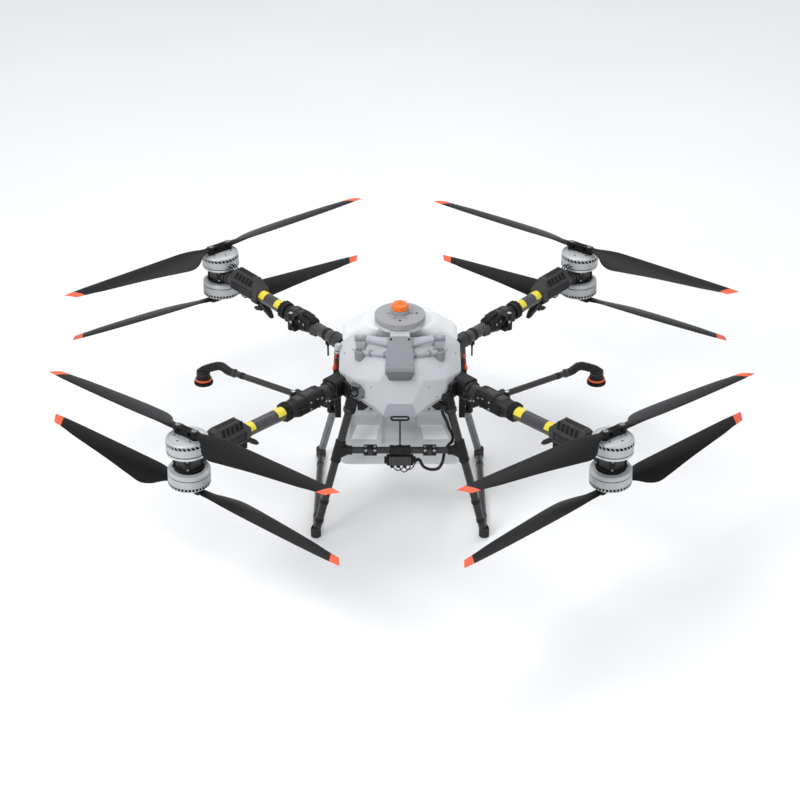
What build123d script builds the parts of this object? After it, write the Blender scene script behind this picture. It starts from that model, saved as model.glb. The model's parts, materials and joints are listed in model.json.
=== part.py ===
from build123d import *
from math import cos, radians, sin, sqrt
import os

# An eight-rotor agricultural spray drone, arms and propellers unfolded.
# Millimetres. +Z up, +X to the drone's right seen from the front, -Y is its front.
# The origin is on the ground, under the middle of the four motor stacks.

# Driving dimensions
MID = 674.0  # height of the plane halfway between upper and lower propellers
PROP_RADIUS = 787.5  # propeller diameter 1575
BLADE_PLANE = 125.6  # propeller planes above and below MID
CANT = 2.0  # degrees that each motor axis leans about its arm
MOTOR_X = MOTOR_Y = 823.0  # motor stacks from the centre
ARM_ROOT = (271.0, 210.0, -30.0)  # inner end of each arm axis, height from MID
FRONT_SPLIT, REAR_SPLIT = 196.5, 259.5  # from the arm root to the plane where the arm folds
HINGE_OUT = 47.0  # fold axis, sideways from the arm axis
ARM_R = 28.0  # outer arm tube
FRONT_INNER_R, REAR_INNER_R = 33.5, 27.5  # fixed inner arm tubes
BELL_R = 84.0  # motor bell
BELL_NEAR, BELL_FAR = 21.0, 91.0  # bell faces, from the propeller plane
BLADE_PIVOT = 45.0  # blade fold pin from the motor axis
BLADE_CONE = 0.6  # degrees that the upper blades rise towards their tips
LEG_R = 17.0  # leg tube
SKID_R = 15.0  # skid tube
LEG_TOP_X, LEG_FOOT_X = 192.0, 357.0
FRONT_LEG_Y = (-257.0, -347.0)  # top, foot
REAR_LEG_Y = (272.0, 308.0)
LEG_TOP_Z, FOOT_Z = MID - 35.0, 19.0
CROSSBAR_Z = MID - 282.0
CROSSBAR_R = 14.5
BAR_END = 232.0  # half the crossbar's length
CLAMP_X = 124.0  # crossbar clamps, from the middle
LID_Y, LID_R = -60.0, 106.0
LANCE_ROOT = (300.0, 56.0, MID - 271.0)  # lance fold axis
LANCE_END = (740.0, 300.0, MID - 240.0)
SPRAYER = (877.0, 361.0)  # sprinkler axis
CAMERA = (-187.0, -296.0, MID + 3.0)  # forward camera, at its plate
GLAND = (177.0, -293.0, 596.0)  # where the hose enters the frame
LATCH_X, LATCH_Y, LATCH_Z = 268.0, -85.0, MID + 46.0  # pin of a tank latch
BATTERY_Y = (112.0, 296.0)
BATTERY_Z = (MID - 50.0, MID + 74.0)
RUN = 0.05  # running clearance on a radius
GAP = 0.3  # clearance between flat moving faces

CORNERS = {
    "front_left": (-1, -1),
    "front_right": (1, -1),
    "rear_left": (-1, 1),
    "rear_right": (1, 1),
}

# Direction of one blade of each propeller, degrees from +X, upper then lower
BLADE_AZIMUTH = {
    "front_left": (-41.0, -39.3),
    "front_right": (-140.4, -139.3),
    "rear_left": (-143.3, -143.0),
    "rear_right": (-33.8, -37.3),
}

# Radius from the motor axis, leading edge, trailing edge, thickness, pitch in degrees
BLADE_SECTIONS = [
    (58, 16, -16, 15.4, 0),
    (84, 19, -20, 15.0, 5),
    (110, 25, -34, 13.5, 13),
    (145, 31, -66, 11.5, 17),
    (190, 35, -86, 10.0, 17),
    (260, 35, -82, 8.5, 14.5),
    (400, 33, -65, 7.0, 11),
    (560, 30, -48, 5.5, 8.5),
    (700, 26, -33, 4.4, 7),
    (PROP_RADIUS, 20, -24, 3.4, 6),
]
TIP_CUT = 34.0  # the tip is cut off slanting, this much shorter at the trailing edge


def save(name, *shapes):
    """Write one node: its solids, each a separate body."""
    solids = [solid for shape in shapes for solid in shape.solids()]
    export_step(Compound(children=solids), f"parts/{name}.step")


def hull(*points):
    """The flat-sided convex solid round the points."""
    return ConvexPolyhedron(points)


def mirrored(points):
    """The points and their images across the middle plane."""
    return [(s * x, y, z) for s in (-1, 1) for x, y, z in points]


def rod(start, end, radius, bore=0.0):
    """A round bar or tube from start to end."""
    a, b = Vector(*start), Vector(*end)
    along = Plane(origin=a, z_dir=b - a)
    profile = Circle(radius) - Circle(bore) if bore else Circle(radius)
    return along * extrude(profile, (b - a).length)


def ring(outer, inner, low, high):
    """A ring round Z between two heights, or a disc where inner is 0."""
    profile = Circle(outer) - Circle(inner) if inner else Circle(outer)
    return Pos(0, 0, min(low, high)) * extrude(profile, abs(high - low))


def block(x, y, z):
    """A box given by its low and high value along each axis."""
    middle = [(lo + hi) / 2 for lo, hi in (x, y, z)]
    return Pos(*middle) * Box(x[1] - x[0], y[1] - y[0], z[1] - z[0])


def bevelled(x, half_width, half_height, cut):
    """A bar along X with its four long edges cut off."""
    w, h = half_width, half_height
    outline = [(w, h - cut), (w - cut, h), (cut - w, h), (-w, h - cut)]
    outline += [(-a, -b) for a, b in outline]
    return hull(*[(x_end, a, b) for x_end in x for a, b in outline])


# Frames of one corner


def arm_unit(corner):
    """Unit vector along the arm, outwards."""
    sx, sy = CORNERS[corner]
    run = Vector(MOTOR_X - ARM_ROOT[0], MOTOR_Y - ARM_ROOT[1], -ARM_ROOT[2])
    u = run.normalized()
    return Vector(sx * u.X, sy * u.Y, u.Z)


def split_length(corner):
    return FRONT_SPLIT if CORNERS[corner][1] < 0 else REAR_SPLIT


def inner_radius(corner):
    return FRONT_INNER_R if CORNERS[corner][1] < 0 else REAR_INNER_R


def split_point(corner):
    sx, sy = CORNERS[corner]
    root = Vector(sx * ARM_ROOT[0], sy * ARM_ROOT[1], MID + ARM_ROOT[2])
    return root + arm_unit(corner) * split_length(corner)


def arm_frame(corner):
    """X along the arm axis from the fold plane, Z up."""
    u = arm_unit(corner)
    level = Vector(-u.Y, u.X, 0).normalized()
    return Plane(origin=split_point(corner), x_dir=u, z_dir=u.cross(level))


def level_frame(corner):
    """As arm_frame, but level: the fold housings and their pin stand upright."""
    u = arm_unit(corner)
    return Plane(origin=split_point(corner), x_dir=Vector(u.X, u.Y, 0), z_dir=(0, 0, 1))


def fold_side(corner):
    """+1 where the fold pin is on the +Y side of the arm frame, else -1."""
    sx, sy = CORNERS[corner]
    return -sx * sy


def motor_distance(corner):
    """From the fold plane to the motor axis, along the arm."""
    run = Vector(MOTOR_X - ARM_ROOT[0], MOTOR_Y - ARM_ROOT[1], -ARM_ROOT[2])
    return run.length - split_length(corner)


def rotor_frame(corner, level):
    """Origin at the propeller hub, Z along the canted motor axis, X along one blade."""
    sx, sy = CORNERS[corner]
    u = arm_unit(corner)
    flat = sqrt(u.X**2 + u.Y**2)
    inward = Vector(-sx * abs(u.Y), sy * abs(u.X), 0) / flat
    lean = -sin(radians(CANT)) if level == "upper" else sin(radians(CANT))
    axis = inward * lean + Vector(0, 0, cos(radians(CANT)))
    azimuth = radians(BLADE_AZIMUTH[corner][0 if level == "upper" else 1])
    blade = Vector(cos(azimuth), sin(azimuth), 0)
    blade = blade - axis * axis.dot(blade)
    height = MID + (BLADE_PLANE if level == "upper" else -BLADE_PLANE)
    return Plane(origin=(sx * MOTOR_X, sy * MOTOR_Y, height), x_dir=blade, z_dir=axis)


# Propulsion


def blade(spin, cone):
    """One folding blade along X, its pin at the origin. spin +1 turns anticlockwise."""
    faces = []
    for radius, lead, trail, thick, pitch in BLADE_SECTIONS:
        c, s = cos(radians(pitch)), sin(radians(pitch))
        chord = lead - trail
        outline = [
            (lead, 0.0),
            (lead - 0.12 * chord, 0.42 * thick),
            (lead - 0.35 * chord, 0.5 * thick),
            (lead - 0.75 * chord, 0.28 * thick),
            (trail, 0.0),
            (lead - 0.75 * chord, -0.28 * thick),
            (lead - 0.35 * chord, -0.5 * thick),
            (lead - 0.12 * chord, -0.42 * thick),
        ]
        x = radius - BLADE_PIVOT
        rise = x * sin(radians(cone))
        points = [(x, spin * (y * c - z * s), y * s + z * c + rise) for y, z in outline]
        faces.append(Face(Wire.make_polygon(points, close=True)))
    foil = loft(faces, ruled=True)
    tip = PROP_RADIUS - BLADE_PIVOT
    last = BLADE_SECTIONS[-1]
    slant = [(tip + 1, spin * last[1]), (tip + 1, spin * (last[2] - 10))]
    slant.append((tip - TIP_CUT, spin * (last[2] - 10)))
    foil -= Pos(0, 0, -30) * extrude(make_face(Polyline(*slant, close=True)), 90)
    half = BELL_NEAR - 13 - GAP
    neck = block((0, 20), (-16, 16), (-half, half))
    return foil + neck + ring(16, 0, -half, half) - ring(5 + RUN, 0, -half - 1, half + 1)


def rotor(level):
    """Motor bell with its magnets, shaft and the clamp that holds the two blades."""
    s = -1 if level == "upper" else 1  # the bell is below an upper propeller
    cup = ring(BELL_R, 0, s * BELL_NEAR, s * BELL_FAR)
    cup -= ring(BELL_R - 5, 0, s * (BELL_NEAR + 6), s * (BELL_FAR + 1))
    magnets = ring(BELL_R - 5, BELL_R - 9, s * (BELL_NEAR + 12), s * (BELL_FAR - 8))
    shaft = ring(8, 0, s * (BELL_NEAR + 6), s * (BELL_FAR + 8))
    half = BELL_NEAR - 13
    near_plate = block((-64, 64), (-17, 17), sorted((s * half, s * BELL_NEAR)))
    far_plate = block((-64, 64), (-15, 15), sorted((-s * half, -s * (half + 5))))
    spacer = block((-24, 24), (-17, 17), (-half, half))
    clamp = near_plate + far_plate + spacer
    pins = [Pos(x, 0, 0) * ring(5, 0, -s * (half + 9), s * (BELL_NEAR - 3)) for x in (-45, 45)]
    for pin in pins:
        clamp -= pin
    return [cup, magnets, shaft, clamp, *pins]


def motor_pod(corner):
    """Pod at the arm's end, its two motor seats, stators and the arm socket."""
    sx, sy = CORNERS[corner]
    middle = Vector(sx * MOTOR_X, sy * MOTOR_Y, MID)
    u = arm_unit(corner)
    along = Plane(origin=middle, x_dir=Vector(u.X, u.Y, 0), z_dir=(0, 0, 1))
    pod = along * chamfer(Box(94, 94, 54).edges().filter_by(Axis.Z), 13)
    for z in (-28, 28):
        pod += along * Pos(0, 0, z) * chamfer(Box(98, 98, 5).edges().filter_by(Axis.Z), 5)
    stators, bores = [], []
    for level, s in (("upper", -1), ("lower", 1)):
        frame = rotor_frame(corner, level)
        pod += frame * ring(60, 0, s * (BELL_FAR + 3), s * (BELL_FAR + 12))
        pod += frame * ring(20, 0, s * (BELL_NEAR + 9), s * (BELL_FAR + 12))
        bores.append(frame * ring(8 + RUN, 0, s * BELL_NEAR, s * (BELL_FAR + 9)))
        stators.append(frame * ring(66, 20, s * (BELL_NEAR + 12), s * (BELL_FAR - 8)))
    arm = arm_frame(corner)
    reach = motor_distance(corner)
    socket = arm * rod((reach - 80, 0, 0), (reach - 42, 0, 0), 33)
    pod += socket & block((-900, 900), (-900, 900), (MID - 30.5, MID + 30.5))
    pod -= arm * rod((reach - 81, 0, 0), (reach - 49, 0, 0), ARM_R)
    for bore in bores:
        pod -= bore
    return [pod, *stators]


# Arms


def outer_arm(corner):
    """Folding arm: fold housing, tube, speed controller housing and blade hook."""
    arm, level = arm_frame(corner), level_frame(corner)
    reach, side = motor_distance(corner), fold_side(corner)
    tube = arm * rod((12, 0, 0), (reach - 49, 0, 0), ARM_R, ARM_R - 3)
    hole = rod((12, 0, 0), (reach, 0, 0), ARM_R)
    pin_side = side * HINGE_OUT
    knuckle = bevelled((0.5, 72), 38, 38, 12)
    for z in ((15.7, 60), (-60, -15.7)):
        knuckle -= Pos(0, pin_side, 0) * ring(16, 0, *z)
    knuckle += Pos(0, pin_side, 0) * ring(15, 0, -15.7, 15.7)
    knuckle -= Pos(0, pin_side, 0) * ring(8 + RUN, 0, -20, 20)
    housing = level * knuckle - arm * hole
    controller = hull(
        *[(x, y, z) for x in (reach - 309, reach - 124) for y in (-42, 42) for z in (-18, 58)],
        *[(x, y, 78) for x in (reach - 290, reach - 150) for y in (-30, 30)],
    )
    controller = arm * (controller - hole)
    hook_x = reach - 270
    stem = block((hook_x - 37, hook_x - 17), (-13, 13), (-72, -20)) - hole
    curve = Pos(hook_x, 0, -58) * Rot(90, 0, 0) * ring(26, 18, -8, 8)
    opening = [(0, 0), (60, 60), (60, -6), (9, -26)]
    mouth = hull(*[(hook_x + x, y, -58 + z) for x, z in opening for y in (-9, 9)])
    hook = arm * (stem + (curve - mouth - hole))
    return [tube, housing, controller, hook]


def lock_collar():
    """Threaded collar that turns on the tube to lock the arm open."""
    collar = rod((74, 0, 0), (110, 0, 0), 38) - rod((73, 0, 0), (111, 0, 0), ARM_R + RUN)
    for angle in range(0, 360, 30):
        rib = block((76, 108), (-3, 3), (35, 42))
        collar += Rot(angle, 0, 0) * rib
    return collar


def fold_housing(corner):
    """Fixed half of the arm's fold joint, with the upright fold pin."""
    arm, level = arm_frame(corner), level_frame(corner)
    pin_side = fold_side(corner) * HINGE_OUT
    body = bevelled((-105, -0.5), 39, 39, 13)
    body -= Pos(0, pin_side, 0) * ring(16, 0, -16, 16)
    for z in ((16, 39), (-39, -16)):
        body += Pos(0, pin_side, 0) * ring(15, 0, *z)
    pin = Pos(0, pin_side, 0) * ring(8, 0, -43, 43)
    body -= pin
    bore = arm * rod((-120, 0, 0), (-20, 0, 0), inner_radius(corner))
    return [level * body - bore, level * pin]


def inner_arm(corner):
    """Fixed tube from the fuselage to the fold joint."""
    start, radius = -split_length(corner) - 6, inner_radius(corner)
    return arm_frame(corner) * rod((start, 0, 0), (-20, 0, 0), radius, radius - 3)


# Fuselage


def fuselage_frame():
    """Ring frame round the tank, arm roots, leg sockets and lance struts."""
    low, high = MID - 58, MID - 12
    frame = block((-225, 225), (-243, -215), (low, high))
    frame += block((-225, 225), (272, 300), (low - 42, high - 42))
    for sx in (-1, 1):
        frame += block(sorted((sx * 252, sx * 280)), (-170, 190), (low, high))
        frame += block(sorted((sx * 190, sx * 225)), (215, 300), (low - 42, high))
        frame += block(sorted((sx * 254, sx * 280)), (6, 66), (MID - 300, low))
        x, y, z = LANCE_ROOT
        for dz in ((-26, -14), (14, 26)):
            lug = Pos(sx * x, y, z) * ring(16, 0, *dz)
            frame += lug + block(sorted((sx * 270, sx * x)), (y - 16, y + 16), (z + dz[0], z + dz[1]))
        frame -= Pos(sx * x, y, z) * ring(6, 0, -30, 30)
    for corner in CORNERS:
        arm, start = arm_frame(corner), -split_length(corner)
        sx, front = CORNERS[corner][0], CORNERS[corner][1] < 0
        if front:
            frame += level_frame(corner) * bevelled((start - 54, start + 32), 41, 41, 12)
            cheek = [(200, -262), (214, -262), (262, -188), (256, -166)]
            frame += hull(*[(sx * x, y, z) for x, y in cheek for z in (low, MID + 12)])
        else:
            frame += arm * rod((start - 40, 0, 0), (start + 32, 0, 0), 36)
        frame -= arm * rod((start - 6, 0, 0), (start + 90, 0, 0), inner_radius(corner))
        top, foot = leg_line(sx, front)
        down = (foot - top).normalized()
        end = top + down * 80
        frame += rod(top - down * 12, end, 26)
        if front and sx > 0:
            x, y, z = GLAND
            frame += block((x - 10, x + 12), (y - 11, y + 11), (z, z + 18))
        frame -= rod(top, end + down, LEG_R)
    x, y, z = LANCE_ROOT
    lance_pins = [rod((sx * x, y, z - 28), (sx * x, y, z + 28), 6) for sx in (-1, 1)]
    return [frame, *lance_pins]


def shell_outline(inset):
    """Corners of the faceted front shell, drawn in by inset."""
    k = inset
    right = [
        (250 - k, -62 + k, 106), (186 - k, -96 + k, 148), (62, -150 + k, 176),
        (254 - k, -165 + k, 25), (190 - k, -262 + k, 40), (188 - k, -266 + k, -36),
        (122 - k, -293 + k, -62), (82 - k, -296 + k, -98), (36, -302 + k, -112),
        (61, -325 + k, -36), (94, -328 + k, 66), (60, -318 + k, 104),
    ]
    return mirrored([(x, y, MID + z) for x, y, z in right])


def front_shell():
    """Thin moulded shell over the front of the tank and frame."""
    wall = 4
    back = [(x, y + 260, z) for x, y, z in shell_outline(wall)]
    shell = hull(*shell_outline(0)) - hull(*shell_outline(wall), *back)
    for corner, (sx, sy) in CORNERS.items():
        if sy < 0:
            top, foot = leg_line(sx, True)
            down = (foot - top).normalized()
            start = -split_length(corner)
            shell -= level_frame(corner) * bevelled((start - 56, start + 54), 43, 43, 12)
            cheek = [(196, -270), (216, -270), (268, -190), (252, -160)]
            shell -= hull(*[(sx * x, y, z) for x, y in cheek for z in (MID - 60, MID + 14)])
            shell -= block(sorted((sx * 196, sx * 230)), (-246, -212), (MID - 61, MID - 9))
            shell -= rod(top - down * 15, top + down * 90, 28)
    x, y, z = CAMERA
    return shell - rod((x, y - 40, z), (x, y + 60, z), 18)


def spine_cover():
    """Tapered cover down the middle of the shell."""
    points = mirrored([
        (40, -150, MID + 214), (42, -172, MID + 205), (44, -160, MID + 160), (44, -188, MID + 182),
        (62, -338, MID + 118), (50, -352, MID + 88), (60, -300, MID + 80), (40, -340, MID + 74),
    ])
    cover = hull(*points) - hull(*shell_outline(0)) - hull(*tank_points())
    return cover - Pos(0, LID_Y, MID) * ring(LID_R + 1, 0, 180, 245)


def handle_bars():
    """Two bars each side of the spine: the upper to a square pad, the lower to a drum."""
    bars = []
    for sx in (-1, 1):
        upper = hull(*[(sx * x, y + dy, MID + z + dz) for x, y, z in ((40, -203, 166), (142, -163, 171))
                       for dy in (-7, 7) for dz in (-7, 7)])
        upper += block(sorted((sx * 137, sx * 189)), (-168, -138), (MID + 163, MID + 182))
        upper += rod((sx * 163, -153, MID + 110), (sx * 163, -153, MID + 164), 13)
        lower = rod((sx * 44, -250, MID + 146), (sx * 150, -192, MID + 126), 12)
        lower += rod((sx * 163, -186, MID + 60), (sx * 163, -186, MID + 136), 25)
        bars += [upper, lower]
    trim = hull(*shell_outline(0)) + spine_cover() + hull(*tank_points())
    kept = [bar - trim for bar in bars]
    return [max(bar.solids(), key=lambda solid: solid.volume) for bar in kept]


def tank_levels(wall):
    """Eight-sided outline of the tank at each height, drawn in by wall."""
    rows = [
        (-417, (215, 92), (242, 60), (257, -168), (240, -192)),
        (-300, (218, 96), (244, 60), (258, -174), (241, -200)),
        (-235, (205, 96), (229, 70), (229, -160), (205, -186)),
        (-166, (190, 95), (217, 60), (217, -125), (188, -165)),
        (-120, (175, 95), (212, 65), (212, -105), (175, -150)),
        (74, (175, 104), (224, 72), (224, -80), (178, -145)),
        (96, (170, 150), (236, 105), (236, -50), (176, -122)),
        (130, (165, 140), (236, 78), (232, -30), (156, -98)),
        (200, (112, 84), (138, 30), (150, -40), (108, -116)),
    ]
    levels = []
    for n, (z, *corners) in enumerate(rows):
        shift = wall if n == 0 else -wall if n == len(rows) - 1 else 0
        outline = [(x - wall, y - wall if y > 0 else y + wall) for x, y in corners]
        levels.append([(x, y, MID + z + shift) for x, y in outline])
    return levels


def tank_points():
    """Corners of the tank's dome, for trimming what rests on it."""
    return [p for level in tank_levels(0)[5:] for p in mirrored(level)]


def tank_body(wall):
    """The tank's solid outline, drawn in by wall."""
    levels = tank_levels(wall)
    body = None
    for low, high in zip(levels, levels[1:]):
        part = hull(*mirrored(low), *mirrored(high))
        body = part if body is None else body + part
    return body


def tank():
    """Hollow moulded tank with its filling neck and lid lugs."""
    neck = Pos(0, LID_Y, MID)
    shell = tank_body(0) + neck * ring(98, 0, 190, 213)
    shell -= tank_body(5)
    shell -= neck * ring(90, 0, 120, 230)
    hinge_y = LID_Y + LID_R + 12
    for x in (-26, 26):
        lug = block((x - 6, x + 6), (hinge_y - 8, hinge_y + 8), (MID + 195, MID + 228))
        shell += lug
    pin = rod((-34, hinge_y, MID + 220), (34, hinge_y, MID + 220), 4)
    return [shell - pin, pin]


def tank_lid():
    """Round lid, hinged at the back, with the collar of its vent cap."""
    lid = Pos(0, LID_Y, MID) * (ring(LID_R, 0, 213.5, 241) + ring(37, 0, 240, 262))
    hinge_y = LID_Y + LID_R + 12
    lid += block((-19.5, 19.5), (LID_Y + 90, hinge_y), (MID + 214, MID + 226))
    lid += rod((-19.5, hinge_y, MID + 220), (19.5, hinge_y, MID + 220), 7)
    lid -= rod((-40, hinge_y, MID + 220), (40, hinge_y, MID + 220), 4 + RUN)
    lid -= Pos(0, LID_Y, MID) * ring(10 + RUN, 0, 248, 270)
    return lid


def lid_knob():
    """Vent cap that turns in the lid's collar."""
    cap = ring(34, 0, 262 + GAP, 286) + ring(22, 0, 286, 293) + ring(4, 0, 293, 301)
    for angle in range(0, 360, 45):
        cap += Rot(0, 0, angle) * block((30, 36), (-6, 6), (262 + GAP, 284))
    return Pos(0, LID_Y, MID) * (cap + ring(10, 0, 250, 263))



def latch_base(sx):
    """Plate and ears that carry a tank latch."""
    plate = block(sorted((sx * 256, sx * 261)), (LATCH_Y - 26, LATCH_Y + 26), (MID - 8, MID + 64))
    for y in (LATCH_Y - 26, LATCH_Y + 20):
        plate += block(sorted((sx * 256, sx * 273)), (y, y + 6), (LATCH_Z - 6, LATCH_Z + 6))
    pin = rod((sx * LATCH_X, LATCH_Y - 26, LATCH_Z), (sx * LATCH_X, LATCH_Y + 26, LATCH_Z), 3)
    return [plate - pin, pin]


def latch(sx):
    """Side latch lever that hangs from its pin."""
    lever = block(sorted((sx * 264, sx * 274)), (LATCH_Y - 18, LATCH_Y + 18), (LATCH_Z - 50, LATCH_Z))
    lever += rod((sx * LATCH_X, LATCH_Y - 19, LATCH_Z), (sx * LATCH_X, LATCH_Y + 19, LATCH_Z), 6)
    lever += block(sorted((sx * 268, sx * 284)), (LATCH_Y - 14, LATCH_Y + 14), (LATCH_Z - 54, LATCH_Z - 46))
    bore = rod((sx * LATCH_X, LATCH_Y - 30, LATCH_Z), (sx * LATCH_X, LATCH_Y + 30, LATCH_Z), 3 + RUN)
    return lever - bore


def battery():
    """Battery pack that slides out backwards, with its handle and terminals."""
    pack = block((-112, 112), BATTERY_Y, BATTERY_Z)
    pack = chamfer(pack.edges().filter_by(Axis.Y), 9)
    back = BATTERY_Y[1]
    grip = block((-70, 70), (back, back + 34), (MID - 4, MID + 14))
    grip -= block((-56, 56), (back - 1, back + 20), (MID - 5, MID + 15))
    return pack + grip


def battery_bay():
    """Tray under the battery and the contact block in front of it."""
    tray = block((-120, 120), (102, 272), (MID - 56, MID - 50.3))
    tray += block((-60, 60), (104.5, 111.7), (MID - 56, MID + 24))
    for sx in (-1, 1):
        tray += block(sorted((sx * 112.3, sx * 120)), (102, 272), (MID - 56, MID + 10))
    return tray


def pumps():
    """Two centrifugal pumps on the tank's back wall, with their inlets."""
    parts = []
    for sx in (-1, 1):
        pump = rod((sx * 105, 116, MID - 350), (sx * 105, 116 + 86, MID - 350), 36)
        pump += rod((sx * 105, 97, MID - 350), (sx * 105, 117, MID - 350), 20)
        pump += rod((sx * 105, 140, MID - 350), (sx * 170, 140, MID - 350), 11)
        parts.append(pump)
    return parts


# Landing gear


def leg_line(sx, front):
    y_top, y_foot = FRONT_LEG_Y if front else REAR_LEG_Y
    return Vector(sx * LEG_TOP_X, y_top, LEG_TOP_Z), Vector(sx * LEG_FOOT_X, y_foot, FOOT_Z)


def leg_point(sx, front, z):
    top, foot = leg_line(sx, front)
    return top + (foot - top) * ((top.Z - z) / (top.Z - foot.Z))


def landing_legs():
    legs = []
    for front in (True, False):
        for sx in (-1, 1):
            top, foot = leg_line(sx, front)
            legs.append(rod(top, leg_point(sx, front, 24), LEG_R, LEG_R - 3))
    return legs



def skids():
    """Tubes along the ground between the front and rear feet."""
    tubes = []
    for sx in (-1, 1):
        start, end = (leg_point(sx, front, FOOT_Z) for front in (True, False))
        tubes.append(rod((start.X, start.Y + 16, FOOT_Z), (end.X, end.Y - 16, FOOT_Z), SKID_R, SKID_R - 2.5))
    return tubes


def rubber_feet():
    """Feet that hold the legs and skids together and meet the ground."""
    feet = []
    for sx in (-1, 1):
        for front in (True, False):
            top, foot = leg_line(sx, front)
            cap = Pos(foot.X, foot.Y, 0) * ring(22, 0, 0, 44)
            inward = 1 if front else -1
            cap += rod((foot.X, foot.Y, FOOT_Z), (foot.X, foot.Y + inward * 42, FOOT_Z), 19)
            cap -= rod(leg_point(sx, front, 24), top, LEG_R)
            cap -= rod((foot.X, foot.Y + inward * 16, FOOT_Z), (foot.X, foot.Y + inward * 90, FOOT_Z), SKID_R)
            feet.append(cap)
    return feet



def leg_joints():
    """Tees with gussets where the crossbar meets the front legs."""
    tees = []
    for sx in (-1, 1):
        top, foot = leg_line(sx, True)
        hub = leg_point(sx, True, CROSSBAR_Z)
        down = (foot - top).normalized()
        tee = rod(hub - down * 46, hub + down * 52, 22)
        tee += rod(hub, (sx * 200, hub.Y, CROSSBAR_Z), 20)
        points = []
        for y in (hub.Y - 9, hub.Y + 9):
            for p in (hub - down * 42, hub + down * 48):
                points.append((p.X, y, p.Z))
            points += [(sx * 206, y, CROSSBAR_Z + 12), (sx * 206, y, CROSSBAR_Z - 12)]
        tee += hull(*points)
        tee -= rod(hub - down * 90, hub + down * 90, LEG_R)
        tee -= rod((sx * BAR_END, hub.Y, CROSSBAR_Z), (sx * 150, hub.Y, CROSSBAR_Z), CROSSBAR_R)
        tees.append(tee)
    return tees


def crossbar_y():
    return leg_point(1, True, CROSSBAR_Z).Y


def crossbar():
    """Front crossbar, its clamps, middle boss and the rod with its pull ring."""
    y = crossbar_y()
    bar = rod((-BAR_END, y, CROSSBAR_Z), (BAR_END, y, CROSSBAR_Z), CROSSBAR_R, CROSSBAR_R - 2.5)
    hole = rod((-BAR_END, y, CROSSBAR_Z), (BAR_END, y, CROSSBAR_Z), CROSSBAR_R)
    clamps = []
    for x in (-CLAMP_X, CLAMP_X):
        clamps.append(block((x - 28, x + 28), (y - 19, y + 19), (CROSSBAR_Z - 17, CROSSBAR_Z + 18)) - hole)
    boss = rod((-44, y, CROSSBAR_Z), (44, y, CROSSBAR_Z), 22) - hole
    top = MID - 136
    pull = rod((0, y, CROSSBAR_Z + 20), (0, y, top), 3.5) - hole
    handle = Pos(0, y, top + 10) * Rot(90, 0, 0) * extrude(SlotOverall(76, 24) - SlotOverall(60, 8), 8)
    boss += pull + handle
    return [bar, *clamps, boss]


def spray_manifold():
    """Finned flow module under the crossbar, with its connectors."""
    y = crossbar_y()
    body = block((-46, 46), (y - 22, y + 22), (CROSSBAR_Z - 64, CROSSBAR_Z - 22))
    for x in range(-40, 41, 10):
        body -= block((x - 2, x + 2), (y - 23, y - 16), (CROSSBAR_Z - 60, CROSSBAR_Z - 26))
    plugs = []
    for x in (-66, 56):
        plugs.append(block((x, x + 10), (y - 12, y + 12), (CROSSBAR_Z - 62, CROSSBAR_Z - 34)))
    spouts = [rod((x, y, CROSSBAR_Z - 84), (x, y, CROSSBAR_Z - 64), 9) for x in (-34, -8, 20)]
    cheeks = [block(x, (y - 16, y + 16), (CROSSBAR_Z - 66, CROSSBAR_Z - 28)) for x in ((-56, -46), (46, 56))]
    return [body, *cheeks, *plugs, *spouts]


def hose(points, radius):
    """A hose along straight runs joined by arcs as large as the runs allow."""
    corners = [Vector(*p) for p in points]
    radii = []
    for a, b, c in zip(corners, corners[1:], corners[2:]):
        turn = (b - a).get_angle(c - b)
        shorter = min((b - a).length, (c - b).length)
        radii.append(0.45 * shorter / abs(sin(radians(turn / 2)) / cos(radians(turn / 2))))
    path = FilletPolyline(*corners, radius=radii)
    start = Plane(origin=corners[0], z_dir=corners[1] - corners[0])
    tube = sweep(start * Circle(radius), path=path)
    print("hose radii", [round(r) for r in radii], "length", round(path.length))
    return tube


def hoses():
    """Spray hose from the flow module round to the right leg and up to its gland."""
    y = crossbar_y()
    z = CROSSBAR_Z
    gland_x, gland_y, gland_z = GLAND
    points = [
        (66, y, z - 48), (82, y, z - 48), (98, y - 2, z - 78), (128, y - 4, z - 92),
        (160, y - 2, z - 88), (178, y + 8, z - 64), (186, y + 26, z - 32), (200, y + 34, z),
        (219, y + 34, z + 26), (218, y + 26, z + 62), (204, y + 16, z + 98), (194, y + 4, z + 136),
        (gland_x, gland_y, gland_z - 26), GLAND,
    ]
    return hose(points, 6.5)


# Spray lances


def lance(sx):
    """Folding lance: knuckle, tube, arched sprinkler body and its motor."""
    x, y, z = LANCE_ROOT
    root, end = Vector(sx * x, y, z), Vector(sx * LANCE_END[0], LANCE_END[1], LANCE_END[2])
    along = (end - root).normalized()
    knuckle = Pos(root) * ring(15, 0, -13.6, 13.6) + rod(root, root + along * 60, 16)
    knuckle &= block((-900, 900), (-900, 900), (z - 13.6, z + 40))
    knuckle -= Pos(root) * (ring(20, 0, 13.6, 60) + ring(6 + RUN, 0, -20, 20))
    tube = rod(root + along * 50, end, 14)
    knuckle -= tube
    head = Vector(sx * SPRAYER[0], SPRAYER[1], 0)
    mid = end + along * 62 + Vector(0, 0, 12)
    top = Vector(head.X, head.Y, MID - 262)
    arch = rod(end, mid, 19) + rod(mid, top, 19) + Pos(mid) * Sphere(19) + Pos(top) * Sphere(19)
    arch += Pos(head.X, head.Y, MID) * ring(30, 0, -300, -262)
    arch -= Pos(head.X, head.Y, MID) * ring(5 + RUN, 0, -310, -284)
    arch -= tube
    band = Pos(head.X, head.Y, MID) * ring(38, 12, -309, -300)
    return [knuckle, tube, arch, band]


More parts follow.
